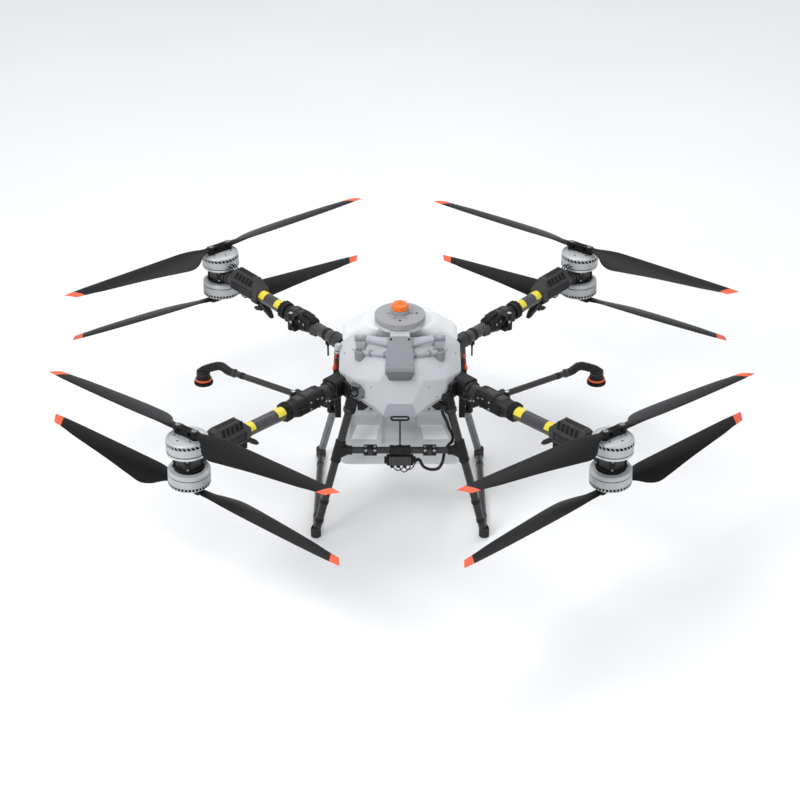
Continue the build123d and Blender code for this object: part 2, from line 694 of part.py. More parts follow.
def sprinkler_disc(sx):
    """Spinning disc that throws the spray, on its short shaft."""
    disc = ring(42.5, 0, -330, -313) + ring(5, 0, -320, -286)
    disc += ring(11, 0, -313, -309.5)
    return Pos(sx * SPRAYER[0], SPRAYER[1], MID) * disc


# Small fittings


def antennas():
    """Aerial rods under the rear arms and the status lamp on the left side."""
    parts = []
    for corner in ("rear_left", "rear_right"):
        u = arm_unit(corner)
        foot = split_point(corner) - u * (REAR_SPLIT - 65)
        clip = Pos(foot) * block((-11, 11), (-11, 11), (-46, -20))
        clip -= rod(foot - u * 60, foot + u * 60, REAR_INNER_R)
        parts += [clip, Pos(foot) * ring(4, 0, -104, -46)]
    parts.append(rod((-258, -80, MID + 66), (-258, -80, MID + 108), 15) - hull(*shell_outline(0)))
    return parts


def camera():
    """Forward camera on its plate, left of the shell."""
    x, y, z = CAMERA
    outline = [(-14, 28), (24, 22), (42, 0), (40, -34), (10, -44), (-16, -24)]
    plate = hull(*[(x + dx, y_end, z + dz) for y_end in (y, y + 32) for dx, dz in outline])
    plate -= hull(*shell_outline(0))
    top, foot = leg_line(-1, True)
    down = (foot - top).normalized()
    plate -= rod(top - down * 15, top + down * 90, 28)
    barrel = rod((x, y - 24, z), (x, y, z), 17)
    return [max(plate.solids(), key=lambda solid: solid.volume), barrel]


def shell_hooks():
    """Small brackets that hold the shell's lower corners to the frame."""
    parts = []
    for sx in (-1, 1):
        arm = hull(*[(sx * x, y, MID + z) for y in (-262, -250) for x, z in (
            (176, -70), (176, -108), (150, -108), (124, -84), (124, -76), (150, -64))])
        hook = block(sorted((sx * 116, sx * 124)), (-262, -250), (MID - 106, MID - 76))
        parts.append((arm + hook) - hull(*shell_outline(0)))
    return parts


def fasteners():
    """Visible bolts of the fold housings."""
    bolts = []
    for corner in CORNERS:
        level = level_frame(corner)
        for side in (-1, 1):
            for x in (-24, -56, -88):
                for z in (-15, 15):
                    if side == fold_side(corner) and x == -24:
                        continue
                    bolt = rod((x, side * 39, z), (x, side * 43, z), 4)
                    bolts.append(level * bolt)
    return bolts


os.makedirs("parts", exist_ok=True)

for corner, (sx, sy) in CORNERS.items():
    for level in ("upper", "lower"):
        frame = rotor_frame(corner, level)
        save(f"rotor_{corner}_{level}", *[frame * solid for solid in rotor(level)])
        spin = sx * sy if level == "upper" else -sx * sy
        shape = blade(spin, BLADE_CONE if level == "upper" else 0.0)
        for letter, turn in (("a", 0), ("b", 180)):
            save(f"blade_{corner}_{level}_{letter}", frame * Rot(0, 0, turn) * Pos(BLADE_PIVOT, 0, 0) * shape)
    save(f"motor_pod_{corner}", *motor_pod(corner))
    save(f"outer_arm_{corner}", *outer_arm(corner))
    save(f"lock_collar_{corner}", arm_frame(corner) * lock_collar())

save("inner_arms", *[inner_arm(corner) for corner in CORNERS])
save("fold_housings", *[solid for corner in CORNERS for solid in fold_housing(corner)], *fasteners())
latch_bases = [*latch_base(-1), *latch_base(1)]
save("fuselage_frame", *fuselage_frame(), battery_bay(), *latch_bases, *shell_hooks())
save("front_shell", front_shell())
save("spine_cover", spine_cover())
save("handle_bars", *handle_bars())
save("tank", *tank())
save("tank_lid", tank_lid())
save("lid_knob", lid_knob())
save("latch_left", latch(-1))
save("latch_right", latch(1))
save("battery", battery())
save("pumps", *pumps())
save("landing_legs", *landing_legs(), *skids())
save("rubber_feet", *rubber_feet())
save("leg_joints", *leg_joints())
save("crossbar", *crossbar())
save("spray_manifold", *spray_manifold())
save("hoses", hoses())
save("lance_left", *lance(-1))
save("lance_right", *lance(1))
save("sprinkler_disc_left", sprinkler_disc(-1))
save("sprinkler_disc_right", sprinkler_disc(1))
save("sensors", *antennas(), *camera())
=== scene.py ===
import json
from math import atan2, cos, pi, radians, sin, sqrt

import bmesh
import bpy
from mathutils import Matrix, Vector
from mathutils.geometry import intersect_ray_tri

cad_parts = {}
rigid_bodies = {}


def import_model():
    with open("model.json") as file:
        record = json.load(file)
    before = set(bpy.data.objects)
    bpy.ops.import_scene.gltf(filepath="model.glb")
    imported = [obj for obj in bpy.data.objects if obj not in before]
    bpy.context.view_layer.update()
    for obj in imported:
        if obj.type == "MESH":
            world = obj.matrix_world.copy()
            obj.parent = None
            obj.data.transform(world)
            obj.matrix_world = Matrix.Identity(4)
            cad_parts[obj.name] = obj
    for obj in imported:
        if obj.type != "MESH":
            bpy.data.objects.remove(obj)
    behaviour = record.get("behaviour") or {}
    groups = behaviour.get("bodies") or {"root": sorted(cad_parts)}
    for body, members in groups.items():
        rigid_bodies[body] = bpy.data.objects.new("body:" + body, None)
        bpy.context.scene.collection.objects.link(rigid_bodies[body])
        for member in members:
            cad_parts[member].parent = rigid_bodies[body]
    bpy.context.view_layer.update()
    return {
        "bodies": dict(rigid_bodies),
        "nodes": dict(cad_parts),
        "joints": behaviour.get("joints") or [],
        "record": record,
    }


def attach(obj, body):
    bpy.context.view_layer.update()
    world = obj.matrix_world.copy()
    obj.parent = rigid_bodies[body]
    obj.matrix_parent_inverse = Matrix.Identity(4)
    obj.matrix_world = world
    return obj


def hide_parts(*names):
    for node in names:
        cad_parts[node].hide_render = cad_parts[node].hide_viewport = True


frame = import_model()

# Dimensions in millimetres, as in the CAD. +Z up, -Y is the drone's front.
MID = 674.0
PROP_RADIUS = 787.5
BLADE_PLANE = 125.6
CANT = 2.0
MOTOR_XY = 823.0
ARM_ROOT = (271.0, 210.0, -30.0)
FRONT_SPLIT, REAR_SPLIT = 196.5, 259.5
FRONT_INNER_R, REAR_INNER_R = 33.5, 27.5
HINGE_OUT = 47.0
ARM_R = 28.0
BELL_NEAR, BELL_FAR = 21.0, 91.0
BLADE_PIVOT = 45.0
LEG_R = 17.0
LEG_TOP_X, LEG_FOOT_X = 192.0, 357.0
FRONT_LEG_Y, REAR_LEG_Y = (-257.0, -347.0), (272.0, 308.0)
LEG_TOP_Z, FOOT_Z = MID - 35.0, 19.0
CROSSBAR_Z = MID - 282.0
LID_Y, LID_R = -60.0, 106.0
CLAMP_X = 124.0
FRAME_LOW, FRAME_HIGH = MID - 58.0, MID - 12.0
LATCH_X, LATCH_Y, LATCH_Z = 268.0, -85.0, MID + 46.0
CONTROLLER_INNER, CONTROLLER_OUTER, HOOK_IN = 309.0, 124.0, 270.0
AERIAL_AT = 65.0
LANCE_ROOT = (300.0, 56.0, MID - 271.0)
LANCE_END = (740.0, 300.0, MID - 240.0)
SPRAYER = (877.0, 361.0)

CORNERS = {
    "front_left": (-1, -1),
    "front_right": (1, -1),
    "rear_left": (-1, 1),
    "rear_right": (1, 1),
}
BLADE_AZIMUTH = {
    "front_left": (-41.0, -39.3),
    "front_right": (-140.4, -139.3),
    "rear_left": (-143.3, -143.0),
    "rear_right": (-33.8, -37.3),
}


# Frames of one corner: the arms leave the body outwards and slightly up, and end at the motor pods


def arm_unit(corner):
    sx, sy = CORNERS[corner]
    run = Vector((MOTOR_XY - ARM_ROOT[0], MOTOR_XY - ARM_ROOT[1], -ARM_ROOT[2])).normalized()
    return Vector((sx * run.x, sy * run.y, run.z))


def split_length(corner):
    return FRONT_SPLIT if CORNERS[corner][1] < 0 else REAR_SPLIT


def reach(corner):
    """From the fold plane to the motor axis."""
    run = Vector((MOTOR_XY - ARM_ROOT[0], MOTOR_XY - ARM_ROOT[1], -ARM_ROOT[2]))
    return run.length - split_length(corner)


def fold_side(corner):
    sx, sy = CORNERS[corner]
    return -sx * sy


def placed(origin, x, z):
    """The matrix of a frame with that origin, X direction and Z direction."""
    x, z = x.normalized(), z.normalized()
    y = z.cross(x)
    matrix = Matrix((x, y, z)).transposed().to_4x4()
    matrix.translation = origin
    return matrix


def split_point(corner):
    sx, sy = CORNERS[corner]
    root = Vector((sx * ARM_ROOT[0], sy * ARM_ROOT[1], MID + ARM_ROOT[2]))
    return root + arm_unit(corner) * split_length(corner)


def arm_frame(corner):
    u = arm_unit(corner)
    level = Vector((-u.y, u.x, 0)).normalized()
    return placed(split_point(corner), u, u.cross(level))


def level_frame(corner):
    u = arm_unit(corner)
    return placed(split_point(corner), Vector((u.x, u.y, 0)), Vector((0, 0, 1)))


def pod_frame(corner):
    sx, sy = CORNERS[corner]
    u = arm_unit(corner)
    return placed(Vector((sx * MOTOR_XY, sy * MOTOR_XY, MID)), Vector((u.x, u.y, 0)), Vector((0, 0, 1)))


def rotor_frame(corner, level):
    sx, sy = CORNERS[corner]
    u = arm_unit(corner)
    flat = sqrt(u.x**2 + u.y**2)
    s = 1 if level == "upper" else -1
    inward = Vector((-sx * abs(u.y), sy * abs(u.x), 0)) / flat
    axis = inward * (-s * sin(radians(CANT))) + Vector((0, 0, cos(radians(CANT))))
    azimuth = radians(BLADE_AZIMUTH[corner][0 if s > 0 else 1])
    blade = Vector((cos(azimuth), sin(azimuth), 0))
    blade -= axis * axis.dot(blade)
    return placed(Vector((sx * MOTOR_XY, sy * MOTOR_XY, MID + s * BLADE_PLANE)), blade, axis)


def leg_line(sx, front):
    y_top, y_foot = FRONT_LEG_Y if front else REAR_LEG_Y
    return Vector((sx * LEG_TOP_X, y_top, LEG_TOP_Z)), Vector((sx * LEG_FOOT_X, y_foot, FOOT_Z))


def leg_point(sx, front, z):
    top, foot = leg_line(sx, front)
    return top + (foot - top) * ((top.z - z) / (top.z - foot.z))


# Materials, sRGB colours


def srgb(*colour):
    """The linear colour, with alpha, of an sRGB one."""
    return tuple(c / 12.92 if c < 0.04 else ((c + 0.055) / 1.055) ** 2.4 for c in colour) + (1.0,)


class Nodes:
    """A small writer of shader nodes for one material."""

    def __init__(self, name):
        self.material = bpy.data.materials.new(name)
        self.material.use_nodes = True
        self.tree = self.material.node_tree
        self.shader = self.tree.nodes["Principled BSDF"]

    def add(self, kind, inputs=(), **settings):
        node = self.tree.nodes.new(kind)
        for key, value in settings.items():
            setattr(node, key, value)
        for key, value in dict(inputs).items():
            if isinstance(value, bpy.types.NodeSocket):
                self.tree.links.new(value, node.inputs[key])
            else:
                node.inputs[key].default_value = value
        return node

    def set(self, key, value):
        if isinstance(value, bpy.types.NodeSocket):
            self.tree.links.new(value, self.shader.inputs[key])
        else:
            self.shader.inputs[key].default_value = value

    def noise(self, scale, detail=3.0, rough=0.5, stretch=(1, 1, 1), coordinate="Object", distortion=0.0):
        where = self.add("ShaderNodeTexCoord").outputs[coordinate]
        mapped = self.add("ShaderNodeMapping", {"Vector": where, "Scale": stretch})
        return self.add("ShaderNodeTexNoise", {"Vector": mapped.outputs[0], "Scale": scale,
                                               "Detail": detail,
                                               "Roughness": rough, "Distortion": distortion}).outputs["Fac"]

    def math(self, operation, *values):
        node = self.add("ShaderNodeMath", operation=operation)
        for socket, value in zip(node.inputs, values):
            if isinstance(value, bpy.types.NodeSocket):
                self.tree.links.new(value, socket)
            else:
                socket.default_value = value
        return node.outputs[0]

    def ramp(self, factor, low, high, a=0.3, b=0.7):
        node = self.add("ShaderNodeValToRGB", {"Fac": factor})
        node.color_ramp.elements[0].position, node.color_ramp.elements[1].position = a, b
        node.color_ramp.elements[0].color, node.color_ramp.elements[1].color = low, high
        return node.outputs[0]

    def mix(self, factor, a, b):
        node = self.add("ShaderNodeMix", data_type="RGBA")
        for index, value in ((0, factor), (6, a), (7, b)):
            if isinstance(value, bpy.types.NodeSocket):
                self.tree.links.new(value, node.inputs[index])
            else:
                node.inputs[index].default_value = value
        return node.outputs[2]

    def range(self, value, low, high):
        return self.add("ShaderNodeMapRange", {"Value": value, "To Min": low, "To Max": high}).outputs[0]

    def bump(self, height, distance, strength=1.0, after=None):
        inputs = {"Height": height, "Distance": distance, "Strength": strength}
        if after is not None:
            inputs["Normal"] = after
        return self.add("ShaderNodeBump", inputs).outputs[0]


def shade(colour, factor):
    """A linear colour made lighter or darker."""
    return tuple(min(1.0, c * factor) for c in colour[:3]) + (1.0,)


def moulded(name, colour, roughness, grain=2600.0, depth=0.00012, vary=0.06, metallic=0.0, coat=0.0,
            dust=0.1,
            specular=0.5):
    """A moulded or painted surface: fine grain, slow colour drift, smudges and a little dust on top."""
    n = Nodes(name)
    base = srgb(*colour)
    drift = n.noise(7.0, 4.0, 0.6)
    body = n.ramp(drift, shade(base, 1 - vary), shade(base, 1 + vary))
    normal = n.add("ShaderNodeNewGeometry").outputs["Normal"]
    up = n.add("ShaderNodeSeparateXYZ", {"Vector": normal}).outputs["Z"]
    patch = n.noise(38.0, 6.0, 0.65)
    settled = n.math("MULTIPLY", n.math("MAXIMUM", up, 0.0), n.range(patch, 0.0, dust))
    n.set("Base Color", n.mix(settled, body, srgb(0.62, 0.60, 0.56)))
    n.set("Roughness", n.range(n.noise(52.0, 5.0, 0.7), roughness - 0.07, roughness + 0.09))
    n.set("Metallic", metallic)
    n.set("Specular IOR Level", specular)
    if coat:
        n.set("Coat Weight", coat)
        n.set("Coat Roughness", 0.12)
    n.set("Normal", n.bump(n.noise(grain, 2.0, 0.5), depth, 0.55))
    return n.material


def woven(name, dark, light, tow=0.0042, roughness=0.32, coat=0.35):
    """Twill carbon weave laid along a tube by its run map; the over tows are lighter than the under ones and
    each tow's crown lighter than its edges, as painted sheen.
    """
    n = Nodes(name)
    where = n.add("ShaderNodeUVMap", uv_map="run").outputs[0]
    scaled = n.add("ShaderNodeMapping", {"Vector": where, "Scale": (1 / tow, 1 / tow, 1)})
    split = n.add("ShaderNodeSeparateXYZ", {"Vector": scaled.outputs[0]})
    u, v = split.outputs["X"], split.outputs["Y"]
    cell = n.math("ADD", n.math("FLOOR", u), n.math("FLOOR", v))
    over = n.math("LESS_THAN", n.math("FLOORED_MODULO", cell, 4.0), 1.5)
    fibre_u = n.math("SINE", n.math("MULTIPLY", u, 44.0))
    fibre_v = n.math("SINE", n.math("MULTIPLY", v, 44.0))
    crown_u = n.math("SINE", n.math("MULTIPLY", n.math("FRACT", u), pi))
    crown_v = n.math("SINE", n.math("MULTIPLY", n.math("FRACT", v), pi))
    under = n.math("SUBTRACT", 1.0, over)
    crown = n.math("ADD", n.math("MULTIPLY", over, crown_u), n.math("MULTIPLY", under, crown_v))
    fibre = n.math("ADD", n.math("MULTIPLY", over, fibre_v), n.math("MULTIPLY", under, fibre_u))
    # Over tows lighter than under ones, plus random tone, and each tow lit at its crown and shaded at its
    # edges: painted sheen
    tone = n.math("ADD", n.math("MULTIPLY", over, 0.62), n.math("MULTIPLY", n.noise(30.0, 4.0, 0.6), 0.38))
    n.set("Base Color", n.mix(n.math("MULTIPLY", tone, n.range(crown, 0.55, 1.0)), srgb(*dark),
                              srgb(*light)))
    n.set("Roughness", n.range(n.noise(60.0, 4.0), roughness - 0.06, roughness + 0.1))
    n.set("Specular IOR Level", 0.3)
    n.set("Coat Weight", coat)
    n.set("Coat Roughness", 0.18)
    height = n.math("ADD", crown, n.math("MULTIPLY", fibre, 0.12))
    n.set("Normal", n.bump(height, 0.00025, 0.8))
    return n.material


def brushed(name, colour, roughness, metallic=0.75):
    """Turned or blasted metal, with fine marks round its axis."""
    n = Nodes(name)
    base = srgb(*colour)
    where = n.add("ShaderNodeUVMap", uv_map="run").outputs[0]
    mapped = n.add("ShaderNodeMapping", {"Vector": where, "Scale": (18, 1400, 1)})
    lines = n.add("ShaderNodeTexNoise", {"Vector": mapped.outputs[0], "Scale": 1.0,
                                         "Detail": 3.0}).outputs["Fac"]
    cloud = n.noise(16.0, 5.0, 0.6)
    n.set("Base Color", n.ramp(cloud, shade(base, 0.93), shade(base, 1.05)))
    n.set("Metallic", metallic)
    n.set("Roughness", n.math("ADD", n.range(lines, roughness - 0.08, roughness + 0.08),
                              n.range(cloud, -0.03, 0.05)))
    n.set("Normal", n.bump(n.noise(3000.0, 2.0), 0.00008, 0.4, n.bump(lines, 0.00006, 0.5)))
    return n.material


def milky(name, colour):
    """Translucent blow-moulded plastic: light goes in, the skin is faintly rippled."""
    n = Nodes(name)
    base = srgb(*colour)
    cloud = n.noise(4.5, 5.0, 0.55)
    n.set("Base Color", n.ramp(cloud, shade(base, 0.94), shade(base, 1.03)))
    n.set("Roughness", n.range(n.noise(24.0, 4.0, 0.6), 0.30, 0.46))
    n.set("Subsurface Weight", 0.55)
    n.set("Subsurface Radius", (1.0, 1.0, 0.95))
    n.set("Subsurface Scale", 0.03)
    n.set("Coat Weight", 0.12)
    n.set("Coat Roughness", 0.25)
    n.set("Normal", n.bump(n.noise(1800.0, 2.0), 0.0001, 0.35, n.bump(n.noise(34.0, 3.0), 0.0008, 0.5)))
    return n.material


def streaked(name, colour, roughness, coat=0.0):
    """Fibre-filled nylon: faint flow lines along the blade's run map."""
    n = Nodes(name)
    base = srgb(*colour)
    where = n.add("ShaderNodeUVMap", uv_map="run").outputs[0]
    mapped = n.add("ShaderNodeMapping", {"Vector": where, "Scale": (260, 9, 1)})
    flow = n.add("ShaderNodeTexNoise", {"Vector": mapped.outputs[0], "Scale": 1.0,
                                        "Detail": 5.0}).outputs["Fac"]
    n.set("Base Color", n.ramp(flow, shade(base, 0.82), shade(base, 1.22)))
    n.set("Roughness", n.range(flow, roughness - 0.06, roughness + 0.1))
    n.set("Specular IOR Level", 0.14)
    n.set("Coat Weight", coat)
    n.set("Normal", n.bump(n.noise(2400.0, 2.0), 0.0001, 0.5, n.bump(flow, 0.0002, 0.35)))
    return n.material


# Body
SHELL = moulded("shell_grey", (0.735, 0.74, 0.75), 0.42, vary=0.025, dust=0.03, specular=0.4)
# Darker grey: the real colour of the bars and screw caps, and painted shade on the shell's downward faces and
# inside
SHELL_TRIM_AND_SHADE = moulded("shell_trim_and_shade", (0.63, 0.635, 0.65), 0.46, vary=0.04, dust=0.04, specular=0.4)
SPINE = moulded("spine_grey", (0.50, 0.505, 0.52), 0.45, vary=0.04, dust=0.05, specular=0.35)
SPINE_DARK = moulded("spine_face", (0.36, 0.365, 0.38), 0.5, vary=0.04, dust=0.03, specular=0.3)
LID = moulded("lid_grey", (0.585, 0.59, 0.60), 0.5, vary=0.04, dust=0.06, specular=0.35)
TANK = milky("tank_milky", (0.87, 0.875, 0.875))
# Lower tank in a darker milky grey: painted shade
TANK_LOW_SHADE = milky("tank_lower_shade", (0.80, 0.808, 0.812))
# Panes in a lighter milky grey: painted reflection
TANK_PANE_REFLECTION = milky("tank_pane_reflection", (0.95, 0.955, 0.955))
# Motors, bolts and rear legs
BELL = brushed("bell_silver", (0.72, 0.73, 0.735), 0.42, 0.3)
BELL_RIM = brushed("bell_rim", (0.82, 0.83, 0.835), 0.32, 0.6)
STEEL = brushed("bolt_steel", (0.70, 0.71, 0.72), 0.3, 0.95)
# Lighter grey for the upper stretch of the rear legs: painted reflection
LEG_REFLECTION_GREY = brushed("leg_satin", (0.66, 0.665, 0.67), 0.2, 0.85)
LEG_DARK = brushed("leg_satin_dark", (0.46, 0.463, 0.47), 0.26, 0.5)
# Blacks, from the darkest gaps to the dark grey housings
# Near-black painted shade for slots, holes, bolt sockets and the insides of the bells
SLOT_SHADE = moulded("slot_shade_black", (0.03, 0.03, 0.035), 0.7, vary=0.2, dust=0.0, specular=0.2)
# Dark grey for grooves: on the bells, drum and lamp it is painted shade
GROOVE_SHADE = moulded("groove_shade_grey", (0.16, 0.165, 0.17), 0.6, vary=0.1, dust=0.0)
BLACK = moulded("black_moulded", (0.09, 0.091, 0.095), 0.42, vary=0.16, dust=0.02, specular=0.2)
DEEP = moulded("black_deep", (0.06, 0.06, 0.064), 0.5, vary=0.18, dust=0.015, specular=0.16)
CHARCOAL = moulded("charcoal_moulded", (0.20, 0.202, 0.206), 0.4, vary=0.12, dust=0.02, specular=0.28)
ANODISED = moulded("black_anodised", (0.15, 0.15, 0.155), 0.36, grain=3600.0, depth=0.00006, vary=0.1,
                   metallic=0.4, specular=0.3)
# Tubes and blades
CARBON = woven("carbon_twill", (0.10, 0.10, 0.105), (0.36, 0.36, 0.365), 0.0034, 0.34, 0.15)
CARBON_SATIN = woven("carbon_satin", (0.08, 0.08, 0.085), (0.24, 0.24, 0.245), 0.003, 0.38, 0.1)
GLOSS_TUBE = woven("carbon_gloss", (0.06, 0.06, 0.065), (0.16, 0.16, 0.165), 0.003, 0.26, 0.25)
BLADE = streaked("blade_nylon", (0.07, 0.071, 0.075), 0.36)
TIP = streaked("blade_tip", (0.87, 0.385, 0.27), 0.42)
# Coloured marks and small parts
YELLOW = moulded("band_yellow", (0.88, 0.81, 0.20), 0.4, vary=0.05, dust=0.04, coat=0.1)
# Dark olive for the lower half of the yellow bands: painted shade
OLIVE_SHADE = moulded("band_shadow", (0.30, 0.28, 0.10), 0.45, vary=0.1, dust=0.02)
ORANGE = moulded("cap_orange", (0.96, 0.44, 0.04), 0.36, vary=0.05, dust=0.02, coat=0.1)
RED = moulded("latch_red", (0.82, 0.21, 0.08), 0.36, vary=0.07, dust=0.02, coat=0.1)
RUST = moulded("ring_orange", (0.80, 0.33, 0.16), 0.4, vary=0.08, dust=0.03)
RUBBER = moulded("foot_rubber", (0.12, 0.12, 0.12), 0.78, grain=900.0, depth=0.0003, vary=0.12, dust=0.12)
HOSE = moulded("hose_black", (0.08, 0.08, 0.082), 0.38, vary=0.1, dust=0.02, specular=0.25)
# Grey lighter than the charcoal module for the fins: painted highlight
FIN_HIGHLIGHT = moulded("fin_highlight_grey", (0.29, 0.293, 0.30), 0.36, vary=0.08, dust=0.02, specular=0.4)
PLATE = moulded("plate_grey", (0.42, 0.425, 0.44), 0.34, vary=0.06, metallic=0.5, dust=0.03)
LENS = moulded("lens_blue", (0.05, 0.10, 0.20), 0.08, vary=0.3, dust=0.0, coat=1.0)
LAMP = moulded("lamp_grey", (0.66, 0.665, 0.67), 0.22, vary=0.04, dust=0.02, coat=0.6)


# Shapes


def rot(axis, angle):
    return Matrix.Rotation(radians(angle), 4, axis)


def move(x, y, z):
    return Matrix.Translation((x, y, z))


def from_to(a, b):
    """A frame at a with its Z towards b, and the distance between them."""
    a, b = Vector(a), Vector(b)
    z = (b - a).normalized()
    x = Vector((0, 0, 1)).cross(z)
    if x.length < 1e-6:
        x = Vector((1, 0, 0))
    return placed(a, x, z), (b - a).length


def level_with(points, s=1):
    """Points whose heights count from the middle height, put in the frame; s = -1 mirrors them in X."""
    return [(s * x, y, MID + z) for x, y, z in points]


def mirrored(points):
    """The points and their mirror images in X, the mirror images first."""
    return [(s * x, y, z) for s in (-1, 1) for x, y, z in points]


def chamfered(stations, cut=12):
    """Corners of square sections with cut corners, (x, half width, half height) each."""
    return [(x, y, z) for x, w, h in stations for y, z in (
        (w, h - 14), (w - cut, h), (cut - w, h), (-w, h - 14),
        (-w, 14 - h), (cut - w, -h), (w - cut, -h), (w, 14 - h))]


class Piece:
    """Gathers shapes given in millimetres into one object that rides on a body."""

    def __init__(self, name):
        self.name = name
        self.bm = bmesh.new()
        self.run = self.bm.loops.layers.uv.new("run")
        self.materials = []

    def index(self, material):
        if material not in self.materials:
            self.materials.append(material)
        return self.materials.index(material)

    def mesh(self, points, faces, material, matrix=Matrix(), runs=None, materials=None):
        """Adds faces. runs gives each point's place round and along, in metres."""
        made = [self.bm.verts.new(matrix @ Vector(p)) for p in points]
        for number, face in enumerate(faces):
            try:
                added = self.bm.faces.new([made[i] for i in face])
            except ValueError:
                continue
            added.material_index = self.index(materials[number] if materials else material)
            added.smooth = True
            if runs:
                for loop, i in zip(added.loops, face):
                    loop[self.run].uv = runs[i]
        return made

    def lathe(self, profile, material, matrix=Matrix(), sides=64, radius_at=None):
        """Turns (radius, height[, material]) round Z; a material holds for the stretch that starts there."""
        points, runs, faces, materials = [], [], [], []
        along = 0.0
        for k, stop in enumerate(profile):
            if k:
                along += sqrt((stop[0] - profile[k - 1][0]) ** 2 + (stop[1] - profile[k - 1][1]) ** 2)
            for i in range(sides + 1):
                a = 2 * pi * i / sides
                r = radius_at(stop[0], stop[1], i) if radius_at else stop[0]
                points.append((r * cos(a), r * sin(a), stop[1]))
                runs.append((a * 0.001 * max(r, 1.0), along * 0.001))
        made_of = material
        for k in range(len(profile) - 1):
            made_of = profile[k][2] if len(profile[k]) > 2 else material
            for i in range(sides):
                a = k * (sides + 1) + i
                faces.append((a, a + 1, a + sides + 2, a + sides + 1))
                materials.append(made_of)
        self.mesh(points, faces, material, matrix, runs, materials)

    def tube(self, path, radius, material, sides=20, caps=True, matrix=Matrix()):
        """A round bar along a line of points; radius may be a list, one for each point."""
        path = [Vector(p) for p in path]
        radii = radius if isinstance(radius, (list, tuple)) else [radius] * len(path)
        points, runs, faces = [], [], []
        across = None
        length = 0.0
        for k, p in enumerate(path):
            before, after = path[max(k - 1, 0)], path[min(k + 1, len(path) - 1)]
            along = (after - before).normalized()
            if across is None:
                upright = abs(along.z) > 0.95
                across = (along.orthogonal() if upright else along.cross(Vector((0, 0, 1)))).normalized()
            across = (across - along * along.dot(across)).normalized()
            side = along.cross(across)
            length += (p - path[k - 1]).length if k else 0.0
            for i in range(sides + 1):
                a = 2 * pi * i / sides
                points.append(p + (across * cos(a) + side * sin(a)) * radii[k])
                runs.append((a * 0.001 * radii[0], length * 0.001))
        for k in range(len(path) - 1):
            for i in range(sides):
                a = k * (sides + 1) + i
                faces.append((a, a + 1, a + sides + 2, a + sides + 1))
        if caps:
            faces.append(tuple(range(sides - 1, -1, -1)))
            last = (len(path) - 1) * (sides + 1)
            faces.append(tuple(range(last, last + sides)))
        self.mesh(points, faces, material, matrix, runs)

    def solid(self, make, bevel, steps, material, matrix, angle=25):
        """Makes a flat-faced solid with make, rounds its edges and adds it."""
        work = bmesh.new()
        make(work)
        bmesh.ops.dissolve_limit(work, angle_limit=radians(2), verts=work.verts, edges=work.edges)
        if bevel:
            sharp = [e for e in work.edges if len(e.link_faces) == 2 and e.calc_face_angle() > radians(angle)]
            bmesh.ops.bevel(work, geom=sharp, offset=bevel, segments=steps, profile=0.6, affect="EDGES",
                            clamp_overlap=True)
        work.verts.index_update()
        points = [v.co.copy() for v in work.verts]
        self.mesh(points, [tuple(v.index for v in f.verts) for f in work.faces], material, matrix)
        work.free()

    def hull(self, points, material, bevel=2.0, steps=2, matrix=Matrix(), angle=25):
        """The convex solid round the points, edges rounded."""
        def make(work):
            for p in points:
                work.verts.new(p)
            result = bmesh.ops.convex_hull(work, input=work.verts)
            spare = [v for v in result["geom_interior"] if isinstance(v, bmesh.types.BMVert)]
            bmesh.ops.delete(work, geom=spare, context="VERTS")
            bmesh.ops.recalc_face_normals(work, faces=work.faces)
        self.solid(make, bevel, steps, material, matrix, angle)

    def box(self, x, y, z, material, bevel=1.5, matrix=Matrix(), steps=2):
        self.hull([(a, b, c) for a in x for b in y for c in z], material, bevel, steps, matrix)

    def prism(self, outline, low, high, material, bevel=1.5, matrix=Matrix(), steps=2, angle=25):
        """A flat outline extruded along Z."""
        def make(work):
            rings = [[work.verts.new((x, y, z)) for x, y in outline] for z in (low, high)]
            count = len(outline)
            work.faces.new(rings[0][::-1])
            work.faces.new(rings[1])
            for i in range(count):
                j = (i + 1) % count
                work.faces.new((rings[0][i], rings[0][j], rings[1][j], rings[1][i]))
            bmesh.ops.recalc_face_normals(work, faces=work.faces)
        self.solid(make, bevel, steps, material, matrix, angle)

    def bolt(self, at, towards, radius=5.0, height=3.0, material=None):
        """A socket-head bolt standing on a surface."""
        matrix, _ = from_to(at, Vector(at) + Vector(towards))
        r, h = radius, height
        # The socket recess takes the near-black painted shade
        rim = [(r * 1.35, -0.6), (r * 1.35, 0.5), (r, 0.55), (r, h - 0.5), (r - 0.5, h), (r * 0.55, h),
               (r * 0.5, h * 0.35, SLOT_SHADE), (0, h * 0.35)]
        self.lathe(rim, material or ANODISED, matrix, 18)

    def bolt_on(self, frame, at, towards, *size):
        """A bolt whose place and direction are given in a frame."""
        self.bolt(frame @ Vector(at), frame.to_3x3() @ Vector(towards), *size)

    def done(self, body, *replaced, slot=None, sharp=38, weighted=True):
        """Finishes the object, in metres, on its body, standing for the CAD nodes named."""
        bmesh.ops.recalc_face_normals(self.bm, faces=self.bm.faces)
        bmesh.ops.scale(self.bm, vec=(0.001, 0.001, 0.001), verts=self.bm.verts)
        mesh = bpy.data.meshes.new(self.name)
        self.bm.to_mesh(mesh)
        self.bm.free()
        for material in self.materials:
            mesh.materials.append(material)
        mesh.set_sharp_from_angle(angle=radians(sharp))
        piece = bpy.data.objects.new(self.name, mesh)
        bpy.context.scene.collection.objects.link(piece)
        if weighted:
            modifier = piece.modifiers.new("weighted", "WEIGHTED_NORMAL")
            modifier.keep_sharp = True
        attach(piece, body)
        if replaced:
            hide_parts(*replaced)
        return piece


